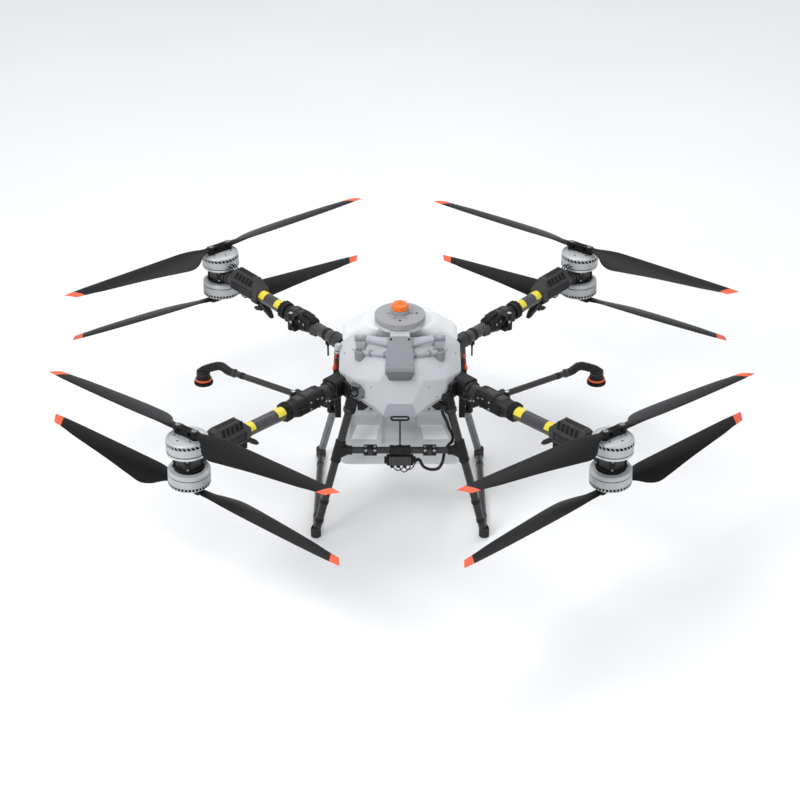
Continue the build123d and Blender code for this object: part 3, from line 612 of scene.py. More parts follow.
def curve(points, steps=8):
    """A smooth line through the points."""
    points = [Vector(p) for p in points]
    ends = [points[0] * 2 - points[1], *points, points[-1] * 2 - points[-2]]
    line = []
    for a, b, c, d in zip(ends, ends[1:], ends[2:], ends[3:]):
        for k in range(steps):
            t = k / steps
            line.append(0.5 * (2 * b + (c - a) * t + (2 * a - 5 * b + 4 * c - d) * t**2
                               + (3 * b - a - 3 * c + d) * t**3))
    return [*line, points[-1]]


def arc(radius, start, end, steps, centre=(0.0, 0.0)):
    """Points of an arc in a plane, degrees."""
    return [(centre[0] + radius * cos(radians(start + (end - start) * k / steps)),
             centre[1] + radius * sin(radians(start + (end - start) * k / steps))) for k in range(steps + 1)]


def rounded(half_x, half_y, radius, steps=5):
    """Outline of a rounded rectangle."""
    x, y = half_x - radius, half_y - radius
    return (arc(radius, 0, 90, steps, (x, y)) + arc(radius, 90, 180, steps, (-x, y))
            + arc(radius, 180, 270, steps, (-x, -y)) + arc(radius, 270, 360, steps, (x, -y)))


# Camera, light and floor

camera = bpy.data.objects.new("camera", bpy.data.cameras.new("camera"))
bpy.context.scene.collection.objects.link(camera)
camera.location = (0, -7.543, 4.776)
camera.rotation_mode = "QUATERNION"
camera.rotation_quaternion = (Vector((0, 0, 0.466)) - camera.location).to_track_quat("-Z", "Y")
camera.data.lens = 91.2
camera.data.sensor_width = 36
camera.data.clip_end = 200
bpy.context.scene.camera = camera

floor_mesh = bpy.data.meshes.new("floor")
floor_mesh.from_pydata([(-40, -40, 0), (40, -40, 0), (40, 40, 0), (-40, 40, 0)], [], [(0, 1, 2, 3)])
floor = bpy.data.objects.new("floor", floor_mesh)
bpy.context.scene.collection.objects.link(floor)
pale = Nodes("floor_pale")
pale.set("Base Color", pale.ramp(pale.noise(0.7, 3.0), (0.86, 0.86, 0.86, 1), (0.89, 0.89, 0.89, 1)))
pale.set("Roughness", 0.6)
floor_mesh.materials.append(pale.material)

world = bpy.data.worlds.new("studio")
world.use_nodes = True
world.node_tree.nodes["Background"].inputs["Color"].default_value = (0.95, 0.97, 1.0, 1)
world.node_tree.nodes["Background"].inputs["Strength"].default_value = 0.82
bpy.context.scene.world = world
bpy.context.scene.view_settings.view_transform = "Standard"


def softbox(name, place, target, size, power, tint=(1, 1, 1)):
    light = bpy.data.objects.new(name, bpy.data.lights.new(name, "AREA"))
    bpy.context.scene.collection.objects.link(light)
    light.data.shape = "DISK"
    light.data.size = size
    light.data.energy = power
    light.data.color = tint
    light.location = place
    light.rotation_mode = "QUATERNION"
    light.rotation_quaternion = (Vector(target) - Vector(place)).to_track_quat("-Z", "Y")


softbox("key", (-3.4, -3.4, 5.4), (0, 0, 0.5), 2.6, 190)
softbox("fill", (4.6, -3.2, 3.4), (0, 0, 0.5), 3.2, 20)
softbox("top", (0.4, 2.6, 6.2), (0, 0, 0.6), 3.4, 120)


# Propulsion

# Radius, leading and trailing edge, thickness, pitch in degrees, and how square the section is
BLADE_SECTIONS = [
    (60, 16, -16, 15.4, 0, 1.0),
    (84, 19, -20, 15.0, 5, 0.8),
    (110, 25, -34, 13.5, 13, 0.35),
    (145, 31, -66, 11.5, 17, 0.1),
    (190, 35, -86, 10.0, 17, 0.0),
    (260, 35, -82, 8.5, 14.5, 0.0),
    (400, 33, -65, 7.0, 11, 0.0),
    (560, 30, -48, 5.5, 8.5, 0.0),
    (700, 26, -33, 4.4, 7, 0.0),
    (PROP_RADIUS, 20, -24, 3.4, 6, 0.0),
]
TIP_CUT, TIP_LENGTH = 34.0, 46.0


def section_at(radius):
    """The blade's section at a radius, smoothly between the drawn ones."""
    rows = BLADE_SECTIONS
    k = max(i for i, row in enumerate(rows[:-1]) if row[0] <= radius or i == 0)
    p = [rows[min(max(k + d, 0), len(rows) - 1)] for d in (-1, 0, 1, 2)]
    t = (radius - p[1][0]) / (p[2][0] - p[1][0])
    values = []
    for c in range(1, 6):
        slope_a = (p[2][c] - p[0][c]) / max(p[2][0] - p[0][0], 1.0) * (p[2][0] - p[1][0])
        slope_b = (p[3][c] - p[1][c]) / max(p[3][0] - p[1][0], 1.0) * (p[2][0] - p[1][0])
        h = 2 * t**3 - 3 * t**2 + 1, t**3 - 2 * t**2 + t, -2 * t**3 + 3 * t**2, t**3 - t**2
        values.append(h[0] * p[1][c] + h[1] * slope_a + h[2] * p[2][c] + h[3] * slope_b)
    return values


def blade(corner, level, letter):
    """One blade: moulded root eye, twisted foil and painted slanting tip."""
    spin = CORNERS[corner][0] * CORNERS[corner][1] * (1 if level == "upper" else -1)
    cone = radians(0.6 if level == "upper" else 0.0)
    place = rotor_frame(corner, level) @ rot("Z", 0 if letter == "a" else 180) @ move(BLADE_PIVOT, 0, 0)
    piece = Piece(f"blade_{corner}_{level}_{letter}_skin")
    around = 26
    stations = [60, 66, 73, 80, 88, 97, 107, 118, 130, 143, 157, 172, 188, 205, 224, 245, 268, 292, 318,
                346, 376,
                408, 442, 478, 516, 554, 592, 630, 664, 694, 718, PROP_RADIUS - TIP_LENGTH,
                PROP_RADIUS - TIP_LENGTH + 0.6, 756, 770, 780, 785.5, PROP_RADIUS]
    points, runs, faces, materials = [], [], [], []
    for number, radius in enumerate(stations):
        lead, trail, thick, pitch, square = section_at(radius)
        if number == len(stations) - 1:
            lead, trail, thick = lead - 2.5, trail + 2.5, thick * 0.35
        c, s = cos(radians(pitch)), sin(radians(pitch))
        chord = lead - trail
        sheared = min(max((radius - (PROP_RADIUS - 170)) / 110, 0.0), 1.0)
        sheared = sheared * sheared * (3 - 2 * sheared)
        for i in range(around):
            a = 2 * pi * i / around
            share = (1 - cos(a)) / 2
            foil = 1.48 * sqrt(share) * (1 - share) ** 0.86 if share < 1 else 0.0
            slab = abs(sin(a)) ** 0.35
            half = 0.5 * thick * (foil * (1 - square) + slab * square)
            y = lead - share * chord
            z = half * (1 if a <= pi else -0.8) + (1 - square) * 0.035 * chord * sin(pi * share)
            x = radius - BLADE_PIVOT - TIP_CUT * share * sheared
            points.append((x, spin * (y * c - z * s), y * s + z * c + x * sin(cone)))
            runs.append((y * 0.001, x * 0.001))
    for k in range(len(stations) - 1):
        for i in range(around):
            j = (i + 1) % around
            faces.append((k * around + i, k * around + j, (k + 1) * around + j, (k + 1) * around + i))
            materials.append(TIP if stations[k] > PROP_RADIUS - TIP_LENGTH else BLADE)
    faces.append(tuple(range(around)))
    materials.append(BLADE)
    faces.append(tuple(range((len(stations) - 1) * around, len(stations) * around)))
    materials.append(TIP)
    piece.mesh(points, faces, BLADE, place, runs, materials)
    half = BELL_NEAR - 13.4
    eye = arc(16, 90, 270, 12) + [(17, -15.8), (17, 15.8)]
    piece.prism(eye, -half, half, BLADE, 1.4, place)
    piece.box((2, 20), (-9, 9), (half - 1, half + 0.25), DEEP, 0.6, place)
    name = f"blade_{corner}_{level}_{letter}"
    piece.done(name, name, slot="blade", sharp=50, weighted=False)


def clamp_outline(half_length, end, waist):
    """Plan of a blade clamp plate: round ends, narrow middle."""
    right = arc(end, -75, 75, 12, (half_length - end, 0))
    left = [(-x, -y) for x, y in right]
    return right + [(12, waist), (-12, waist)] + left + [(-12, -waist), (12, -waist)]


def rotor(corner, level):
    """Motor bell with its slotted rim, and the blade clamp with its two fold bolts."""
    place = rotor_frame(corner, level)
    piece = Piece(f"motor_{corner}_{level}")
    s = -1 if level == "upper" else 1
    if level == "upper":
        def z(t):
            return -(BELL_NEAR + t)
        # Slot bands and the bell's inner face are painted near-black as shade, the grooves dark grey as shade
        profile = [(0, 0.0), (28, 0.0), (30, 1.0, GROOVE_SHADE), (31, 1.0), (32, 0.2), (70, 1.6),
                   (72, 2.6, GROOVE_SHADE), (73, 2.6),
                   (74, 1.9), (79, 3.4), (82.4, 6.4), (83.8, 10), (83.8, 11.4), (80, 11.8, SLOT_SHADE),
                   (80, 23.2, SLOT_SHADE),
                   (83.9, 23.6), (84, 25), (84, 54), (83.4, 55.2), (81.4, 55.6, GROOVE_SHADE),
                   (81.4, 58.8, GROOVE_SHADE),
                   (83.6, 59.2, BELL_RIM), (84, 60.4, BELL_RIM), (84, 66, BELL_RIM), (82.6, 69.4, BELL_RIM),
                   (79, 70, BELL_RIM), (70, 70, GROOVE_SHADE), (69, 67, SLOT_SHADE), (20, 67, SLOT_SHADE), (0, 67, SLOT_SHADE)]
        piece.lathe([(r, z(t), *m) for r, t, *m in profile], BELL, place, 96)
        rib_low, rib_high, count, lean = 11.6, 23.6, 30, 5.0
    else:
        def z(t):
            return BELL_FAR - t
        profile = [(0, 3.0, SLOT_SHADE), (58, 3.0, SLOT_SHADE), (60, 0.4), (76, 0.9), (81, 3.0), (83.6, 7), (84, 10),
                   (84, 18.6), (83.2, 19.6),
                   (81.4, 20.0, GROOVE_SHADE), (81.4, 22.6, GROOVE_SHADE), (83.2, 23), (84, 24), (84, 24.5), (84, 54),
                   (83.2, 55),
                   (80, 55.6, SLOT_SHADE), (80, 64.4, SLOT_SHADE), (83.6, 65), (83.8, 67), (82, 69.4), (76, 70),
                   (31, 70),
                   (30, 69, GROOVE_SHADE), (28, 69), (27, 70), (0, 70)]

        def ribbed(r, height, i):
            inside = z(54.2) < height < z(24.2)
            return r - 0.9 if inside and i % 2 else r
        piece.lathe([(r, z(t), *m) for r, t, *m in profile[:14]], BELL, place, 96)
        piece.lathe([(84, z(24.5)), (84, z(26)), (84, z(52)), (84, z(54))], BELL, place, 240, ribbed)
        piece.lathe([(r, z(t), *m) for r, t, *m in profile[14:]], BELL, place, 96)
        rib_low, rib_high, count, lean = 55.2, 64.8, 36, 0.0
    for k in range(count):
        a = 360 * k / count
        corners = []
        for height, turn in ((z(rib_low), 0.0), (z(rib_high), lean)):
            for r in (79.0, 83.7):
                for d in (-1.5, 1.5):
                    b = radians(a + turn + d)
                    corners.append((r * cos(b), r * sin(b), height))
        piece.hull(corners, BELL, 0, 1, place)
    half = BELL_NEAR - 13
    out = 1 if level == "upper" else -1
    face = z(1.2) if level == "upper" else z(70)
    for k in range(6):
        b = radians(60 * k + 30)
        piece.bolt_on(place, (50 * cos(b), 50 * sin(b), face), (0, 0, out), 3.4, 1.6, ANODISED)
    near = sorted((s * half, s * (BELL_NEAR + 0.4)))
    far = sorted((out * half, out * (half + 5)))
    piece.prism(clamp_outline(63, 17.5, 13.5), near[0], near[1], DEEP, 1.6, place)
    piece.prism(clamp_outline(63, 16.5, 12.5), far[0], far[1], BLACK, 1.4, place)
    piece.prism(rounded(24, 16, 5), -half, half, DEEP, 1.0, place)
    deck = out * (half + 5)
    for k in range(-4, 5):
        rib = sorted((deck - out * 1.0, deck + out * 1.5))
        piece.box((k * 5.2 - 1.4, k * 5.2 + 1.4), (-9.5, 9.5), rib, DEEP, 0.5, place, 1)
    for x in (-45, 45):
        centre = place @ Vector((x, 0, deck))
        outwards = place.to_3x3() @ Vector((0, 0, out))
        matrix, _ = from_to(centre, centre + outwards)
        piece.lathe([(13.5, -0.4), (13.5, 0.9), (12.5, 1.4), (9, 1.5)], ANODISED, matrix, 28)
        piece.bolt(centre + outwards * 1.4, outwards, 7.6, 3.6, STEEL)
    for x in (-28, 28):
        for y in (-9, 9):
            piece.bolt_on(place, (x, y, deck), (0, 0, out), 2.2, 1.2, ANODISED)
    name = f"rotor_{corner}_{level}"
    piece.done(name, name, slot="rotor", sharp=30)


def motor_pod(corner):
    """Square column between the two motors, with pointed flanges, corner ridges and the arm socket."""
    place = pod_frame(corner)
    piece = Piece(f"pod_{corner}")
    column = rounded(41, 41, 9, 3)
    piece.prism(column, -28, 28, CHARCOAL, 1.0, place)
    for z, lip in ((-33.4, -26.8), (26.8, 33.0)):
        piece.prism(rounded(47.5, 47.5, 8, 4), z, lip, BLACK, 1.6, place)
        piece.lathe([(58, z + 2), (59.5, z + 2.4), (59.5, lip - 2.2), (58, lip - 1.8), (30, lip - 1.8)],
                    ANODISED, place, 48)
    for k in range(4):
        side = place @ rot("Z", 90 * k)
        if k != 2:
            piece.box((40.4, 42.4), (-25, 25), (-21, 21), CHARCOAL, 1.6, side)
            piece.box((41.8, 43.0), (-18, 18), (-15, -12.6), BLACK, 0.4, side, 1)
            piece.box((41.8, 43.0), (-18, 18), (12.6, 15), BLACK, 0.4, side, 1)
        edge = place @ rot("Z", 90 * k + 45)
        piece.box((48, 58.5), (-9, 9), (-28, 28), BLACK, 2.2, edge)
        for low, high in ((-33, -27), (32, 27)):
            point = [(x, y, z) for z in (low, high) for x, y in ((56, -9), (56, 9), (66, 0))]
            piece.hull(point, BLACK, 1.6, 2, edge)
        for z in (-18, -6, 6, 18):
            outer = abs(z) > 10
            piece.bolt_on(edge, (58.4, 0, z), (1, 0, 0), 2.5 if outer else 1.9, 1.4,
                          STEEL if outer else ANODISED)
    arm = arm_frame(corner)
    far = reach(corner)
    socket = arm @ move(far, 0, 0) @ rot("Y", -90)
    piece.lathe([(36, 38), (36, 47), (34.5, 52), (33.5, 78), (32.5, 81), (ARM_R + 0.2, 81.5)], CHARCOAL,
                socket, 40)
    piece.lathe([(36.5, 60), (37, 61), (37, 67), (36.5, 68)], BLACK, socket, 40)
    saddle = [(far - x, y, z) for x, heights in ((40, (-24, 24)),
                                                 (76, (-12, 14))) for z in heights for y in (-30, 30)]
    piece.hull(saddle, CHARCOAL, 3, 3, arm)
    for y, lift, shift in ((-14, 26, 0), (0, 33, 4), (14, 28, -3)):
        path = curve([(far - 128, y * 0.8, 44), (far - 112, y * 0.9, 52 + lift * 0.3),
                      (far - 88 + shift, y, 54 + lift * 0.45), (far - 62, y * 1.05, 40 + lift * 0.2),
                      (far - 44, y * 0.9, 22), (far - 36, y * 0.8, 14)], 6)
        piece.tube(path, 3.1, HOSE, 12, True, arm)
    for side in (-1, 1):
        piece.bolt_on(arm, (far - 64, side * 36, 0), (0, side, 0), 3.6, 2.4)
    piece.done(f"arm_{corner}", f"motor_pod_{corner}", slot="pod")


# Arms


def label_band(piece, arm, start, end):
    """Plain yellow band round the top of the tube, its lower half painted dark olive as shade."""
    for material, low, high in ((YELLOW, 12, 168), (OLIVE_SHADE, 168, 372)):
        points, faces, runs = [], [], []
        steps = 24
        for x in (start, end):
            for k in range(steps + 1):
                a = radians(low + (high - low) * k / steps)
                points.append((x, (ARM_R + 0.35) * cos(a), (ARM_R + 0.35) * sin(a)))
                runs.append((a * 0.028, x * 0.001))
        for k in range(steps):
            faces.append((k, k + 1, k + steps + 2, k + steps + 1))
        piece.mesh(points, faces, material, arm, runs)


def outer_arm(corner):
    """Folding arm: knuckle housing, woven tube, speed controller housing, its cables and the blade hook."""
    arm, level = arm_frame(corner), level_frame(corner)
    far, side = reach(corner), fold_side(corner)
    piece = Piece(f"arm_tube_{corner}")
    line = [(x, 0, 0) for x in range(60, int(far - 70) + 1, 20)] + [(far - 49, 0, 0)]
    piece.tube(line, ARM_R, CARBON, 56, True, arm)
    label_band(piece, arm, 113, 156 if CORNERS[corner][1] < 0 else 150)
    label_band(piece, arm, far - 345, far - 300)

    knuckle = Piece(f"knuckle_{corner}")
    knuckle.hull(chamfered([(0.8, 38, 37), (34, 38, 38), (62, 31, 31), (73, 29, 29)]), BLACK, 2.2, 3, level)
    cover = [(x, y, z) for x, w, z in ((3, 24, 36), (44, 17, 37), (8, 18, 42), (38, 12, 42)) for y in (-w,
                                                                                                       w)]
    knuckle.hull(cover, CHARCOAL, 1.6, 2, level)
    for z in (-24, -8, 8, 24):
        for s in (-1, 1):
            if s != side:
                knuckle.box((6, 52), sorted((s * 36.5, s * 40)), (z - 1.6, z + 1.6), DEEP, 0.7, level, 1)
    for x in (14, 34):
        for z in (-15, 15):
            knuckle.bolt_on(level, (x, -side * 38.5, z), (0, -side, 0), 3.8, 2.8)
    for s in (-1, 1):
        lathe_at = level @ move(0, side * HINGE_OUT, 0)
        low, high = (9.0, 15.4) if s > 0 else (-15.4, -9.0)
        knuckle.lathe([(8.4, low), (15, low), (15, high), (8.4, high)], ANODISED, lathe_at, 32)
    knuckle.box((4, 40), sorted((side * 30, side * (HINGE_OUT + 4))), (-12, 12), BLACK, 2.0, level)
    knuckle.done(f"arm_{corner}", slot="outer_arm")

    house = Piece(f"controller_{corner}")
    a, b = far - CONTROLLER_INNER, far - CONTROLLER_OUTER
    body = [(a, 38, -8), (a, 36, 30), (a + 34, 42, -18), (b, 42, -18), (a + 22, 40, 30), (b, 42, 34),
            (b, 24, 64),
            (a + 48, 17, 76), (b - 14, 18, 76)]
    house.hull([(x, y, z) for x, w, z in body for y in (-w, w)], CHARCOAL, 3.2, 3, arm)
    roof = [(a + 52, 14, 75), (b - 18, 15, 75), (a + 56, 11, 78), (b - 22, 12, 78)]
    house.hull([(x, y, z) for x, w, z in roof for y in (-w, w)], BLACK, 1.2, 2, arm)
    for s in (-1, 1):
        house.box((a + 30, b - 8), sorted((s * 41.2, s * 43)), (-1, 24), BLACK, 2.0, arm)
        slope = arm @ move(0, s * 30.5, 55.5) @ rot("X", -s * 60.5)
        for k in range(5):
            x = b - 38 - k * 24
            frame_and_gap = ((9.5, 18, -1.5, 1.2, 3.6, CHARCOAL), (6.8, 15, 0, 1.9, 3, SLOT_SHADE))
            for half_x, half_y, low, high, lean, material in frame_and_gap:
                corners = [(x + end * lean * s + side * half_x, end * half_y, z)
                           for end in (-1, 1) for side in (-1, 1) for z in (low, high)]
                house.hull(corners, material, 0.6, 1, slope)
        for k in range(4):
            x = a + 44 + k * 34
            house.box((x, x + 24), sorted((s * 42.6, s * 43.8)), (4, 7), CHARCOAL, 0.6, arm, 1)
            house.box((x, x + 24), sorted((s * 42.6, s * 43.8)), (13, 16), CHARCOAL, 0.6, arm, 1)
        house.box((a + 30, b - 10), sorted((s * 40, s * 44)), (-9, -5), DEEP, 0.8, arm, 1)
        for x, z in ((a + 34, 19), (b - 13, 19), (a + 34, 4), (b - 13, 4)):
            house.bolt_on(arm, (x, s * 43, z), (0, s, 0), 3.2, 1.6)
        for k in range(3):
            y = s * (12 + 8 * k)
            path = curve([(b - 30 - 12 * k, y, -16), (b - 52 - 10 * k, y * 0.9, -30 - 3 * k),
                          (b - 86, y * 0.8, -36 - 2 * k), (b - 118 + 8 * k, y * 0.7, -32),
                          (b - 138 + 6 * k, y * 0.5, -24)], 5)
            house.tube(path, 2.6, HOSE, 10, True, arm)
    for k in range(9):
        x = a + 68 + k * (b - a - 102) / 8
        house.box((x - 1.3, x + 1.3), (-9, 9), (77, 79.2), DEEP, 0.5, arm, 1)
    house.box((b - 0.5, b + 3), (-28, 28), (-6, 46), BLACK, 1.6, arm)
    for y in (-16, -5, 6, 17):
        gland = arm @ move(b + 3, y * 0.85, 36) @ rot("Y", 90)
        house.lathe([(5.5, 0), (5.5, 5), (4.2, 6.5), (3.2, 6.5)], DEEP, gland, 16)
    house.box((a + 2, a + 46), (-33, 33), (-33, -8), BLACK, 3.0, arm)
    hook_x = far - HOOK_IN
    house.box((hook_x - 38, hook_x - 16), (-13, 13), (-72, -20), DEEP, 2.5, arm)
    outline = arc(26, 128, 316, 16, (0, 0)) + arc(18, 316, 128, 16, (0, 0))
    hook = arm @ move(0, 0, -58) @ rot("X", 90)
    house.prism([(hook_x + x, y) for x, y in outline], -8, 8, CHARCOAL, 1.4, hook, 2, 40)
    prong = [(16, 15, -26), (46, 15, -26), (60, 14, -62), (92, 13, -58), (92, 9, -83), (110, 9, -82)]
    house.hull([(hook_x - x, y, z) for x, w, z in prong for y in (-w, w)], BLACK, 2.5, 2, arm)
    house.done(f"arm_{corner}", slot="outer_arm")
    piece.done(f"arm_{corner}", f"outer_arm_{corner}", slot="outer_arm", weighted=False)


def lock_collar(corner):
    """Ribbed locking collar round the tube."""
    arm = arm_frame(corner) @ rot("Y", 90)
    piece = Piece(f"collar_{corner}")
    piece.lathe([(ARM_R + 0.4, 74.4), (35.5, 74.4), (37.6, 76), (38, 79), (38, 104), (36.8, 108.4),
                 (34, 109.8),
                 (ARM_R + 0.4, 109.8)], BLACK, arm, 72)
    piece.lathe([(38.6, 78), (39.4, 78.8), (39.4, 82), (38.6, 82.8)], CHARCOAL, arm, 72)
    for k in range(24):
        turned = arm @ rot("Z", 15 * k)
        tall, end, material = (40.4, 105, DEEP) if k % 2 else (41.6, 107, BLACK)
        piece.box((36, tall), (-2.6, 2.6), (83, end), material, 1.0, turned)
    piece.done(f"lock_{corner}", f"lock_collar_{corner}", slot="collar")


def fold_housing(piece, corner):
    """Fixed half of the fold joint: moulded casting, cover, lever, pin and bolts."""
    level = level_frame(corner)
    side = fold_side(corner)
    front = CORNERS[corner][1] < 0
    neck = 36 if front else 31
    stations = [(-1, 38.5, 38.5), (-46, 39, 39), (-84, neck + 2, neck + 3), (-104, neck, neck)]
    piece.hull(chamfered(stations, 13), BLACK, 2.4, 3, level)
    cover = [(x, y, z) for x, w, z in ((-4, 22, 38), (-70, 16, 38), (-12, 14, 44),
                                       (-58, 10, 43)) for y in (-w, w)]
    piece.hull(cover, CHARCOAL, 2.2, 3, level)
    for s in (-1, 1):
        cheek = [(-8, 37, 24), (-8, 37, -26), (-80, 36, 18), (-80, 36, -22), (-14, 42, 18), (-14, 42, -20),
                 (-70, 40.5, 12), (-70, 40.5, -16)]
        piece.hull([(x, s * y, z) for x, y, z in cheek], BLACK, 1.8, 2, level)
        for z in (-22, -11, 0, 11, 22):
            piece.box((-64, -18), sorted((s * 40.6, s * 42.8)), (z - 1.2, z + 1.2), DEEP, 0.5, level, 1)
        for x, z in ((-14, 15), (-14, -15), (-52, 18), (-78, 10)):
            if s == side and x == -14:
                continue
            piece.bolt_on(level, (x, s * 41.4, z), (0, s, 0), 3.8, 3.0, STEEL)
    pin = level @ move(0, side * HINGE_OUT, 0)
    for low, high in ((16, 39), (-39, -16)):
        eye = [(8.2, low), (13.8, low), (15, low + 1.2), (15, high - 1.2), (13.8, high), (8.2, high)]
        piece.lathe(eye, BLACK, pin, 36)
        across = sorted((side * 26, side * (HINGE_OUT + 9)))
        piece.box((-34, 0), across, (low + 1, high - 1), BLACK, 3.0, level)
    half_pin = [(0, 43.5), (8, 43.5), (9.5, 42.5), (9.5, 39.5), (7.8, 39.3)]
    piece.lathe(half_pin + [(r, -z) for r, z in reversed(half_pin)], STEEL, pin, 28)
    lever = [(-112, 6), (-104, 20), (-84, 31), (-58, 38), (-34, 41), (-34, 34), (-58, 31), (-80, 25),
             (-98, 15),
             (-104, 4)]
    turned = level @ rot("X", 90)
    if front:
        piece.prism([(x * 0.72 - 12, z * 0.55 - 52) for x, z in lever], -20, 20, DEEP, 1.6, turned, 2, 40)
    else:
        lifted = [(x - 6, z + 10) for x, z in lever]
        piece.prism(lifted, -side * 4 - 15, -side * 4 + 15, DEEP, 2.0, turned, 2, 40)
        piece.box((-118, -104), (-18, 18), (-8, 30), DEEP, 3.0, level)
        sleeve = [(x, y, z) for x, w, heights in ((-104, 31, (-31, 8)),
                                                  (-146, 29, (-28, 4))) for z in heights
                  for y in (-w, w)]
        piece.hull(sleeve, CHARCOAL, 3, 3, level)


def inner_tube(piece, corner):
    """Fixed tube from the body to the fold joint; the front ones have a bevelled block at the root."""
    arm, start = arm_frame(corner), -split_length(corner) - 2
    line = [(start + 14 * k, 0, 0) for k in range(int(-start / 14))] + [(-20, 0, 0)]
    if CORNERS[corner][1] < 0:
        piece.tube(line, FRONT_INNER_R, CARBON_SATIN, 48, True, arm)
        piece.hull(chamfered([(start + 20, 40, 38), (start + 52, 36, 34)]), BLACK, 2.5, 3, arm)
    else:
        piece.tube(line, REAR_INNER_R, CARBON, 48, True, arm)


# Fuselage

SHELL_POINTS = [
    (250, -62, 106), (186, -96, 148), (62, -150, 176), (254, -165, 25), (190, -262, 40), (188, -266, -36),
    (122, -293, -62), (82, -296, -98), (70, -300, -108), (50, -326, -38), (94, -328, 66), (60, -318, 104),
]


def front_shell():
    """Faceted shell with soft edges, open at the back, its downward faces (the chin) and inside painted
    darker as shade, and small screw caps.
    """
    piece = Piece("shell_skin")
    work = bmesh.new()
    for x, y, z in mirrored(SHELL_POINTS):
        work.verts.new((x, y, MID + z))
    result = bmesh.ops.convex_hull(work, input=work.verts)
    spare = [v for v in result["geom_interior"] if isinstance(v, bmesh.types.BMVert)]
    bmesh.ops.delete(work, geom=spare, context="VERTS")
    bmesh.ops.recalc_face_normals(work, faces=work.faces)
    bmesh.ops.dissolve_limit(work, angle_limit=radians(2), verts=work.verts, edges=work.edges)
    work.normal_update()
    bmesh.ops.delete(work, geom=[f for f in work.faces if f.normal.y > 0.02], context="FACES")
    sharp = [e for e in work.edges if len(e.link_faces) == 2 and e.calc_face_angle() > radians(4)]
    bmesh.ops.bevel(work, geom=sharp, offset=7, segments=4, profile=0.55, affect="EDGES",
                    clamp_overlap=True)
    work.normal_update()
    work.verts.index_update()
    outer = [v.co.copy() for v in work.verts]
    inner = [v.co - v.normal * 4 for v in work.verts]
    count = len(outer)
    faces, materials = [], []
    for f in work.faces:
        faces.append(tuple(v.index for v in f.verts))
        # Faces turned downwards take the darker grey as painted shade; the inside faces, next, take it too
        materials.append(SHELL_TRIM_AND_SHADE if f.normal.z < -0.3 else SHELL)
        faces.append(tuple(v.index + count for v in reversed(f.verts)))
        materials.append(SHELL_TRIM_AND_SHADE)
    for e in work.edges:
        if len(e.link_faces) == 1:
            a, b = e.verts[0].index, e.verts[1].index
            faces.append((a, b, b + count, a + count))
            materials.append(SHELL_TRIM_AND_SHADE)
    work.free()
    piece.mesh(outer + inner, faces, SHELL, Matrix(), None, materials)
    caps = (((226, -118, 84), (0.62, -0.72, 0.3)), ((222, -196, 26), (0.83, -0.55, 0)),
            ((150, -284, -30), (0.45, -0.85, -0.2)), ((120, -316, 30), (0.3, -0.95, 0)),
            ((196, -150, 118), (0.3, -0.75, 0.6)))
    for s in (-1, 1):
        for (x, y, z), n in caps:
            towards = Vector((s * n[0], n[1], n[2])).normalized()
            at = surface(outer, faces, Vector((s * x, y, MID + z)), towards)
            if at:
                cap = [(4.6, -1), (4.6, 0.5), (3.9, 0.9), (2.2, 0.9), (2.0, 0.1, SLOT_SHADE), (0, 0.1)]
                piece.lathe(cap, SHELL_TRIM_AND_SHADE, from_to(at, at + towards)[0], 20)
    piece.done("airframe", "front_shell", slot="shell", sharp=32)


def surface(points, faces, near, towards):
    """Where a line through a point meets the outer faces, those made of these points only."""
    best = None
    origin = near + towards * 400
    for face in faces:
        if max(face) >= len(points):
            continue
        for k in range(1, len(face) - 1):
            corners = [points[face[i]] for i in (0, k, k + 1)]
            hit = intersect_ray_tri(*corners, -towards, origin, True)
            if hit and (best is None or (hit - origin).length < (best - origin).length):
                best = hit
    return best


def spine_cover():
    """Neck from the lid and the raised cover over the top of the shell."""
    piece = Piece("spine_skin")
    neck = [(38, -150, 212), (40, -176, 203), (43, -160, 160), (47, -222, 168), (47, -226, 140),
            (38, -170, 150)]
    piece.hull(level_with(mirrored(neck)), SHELL, 5, 4)
    cover = [(46, -184, 200), (47, -182, 150), (61, -326, 127), (62, -333, 114), (60, -333, 98),
             (57, -300, 86),
             (52, -190, 160)]
    piece.hull(level_with(mirrored(cover)), SPINE, 9, 5)
    nose = [(54, -336, 114), (52, -349, 94), (44, -350, 82), (40, -338, 76), (52, -322, 88),
            (50, -318, 110)]
    piece.hull(level_with(mirrored(nose)), SPINE_DARK, 9, 5)
    for s in (-1, 1):
        at = Vector((s * 37, -199, MID + 192))
        plug, _ = from_to(at, at + Vector((0, -0.45, 0.9)))
        piece.lathe([(5.2, -3), (5.2, 0.8), (4.4, 1.6), (0, 1.6)], SLOT_SHADE, plug, 20)
        at = Vector((s * 50, -312, MID + 133.4))
        piece.bolt(at, (0, -0.4, 0.9), 3.0, 1.2, SPINE_DARK)
    piece.done("airframe", "spine_cover", slot="spine")


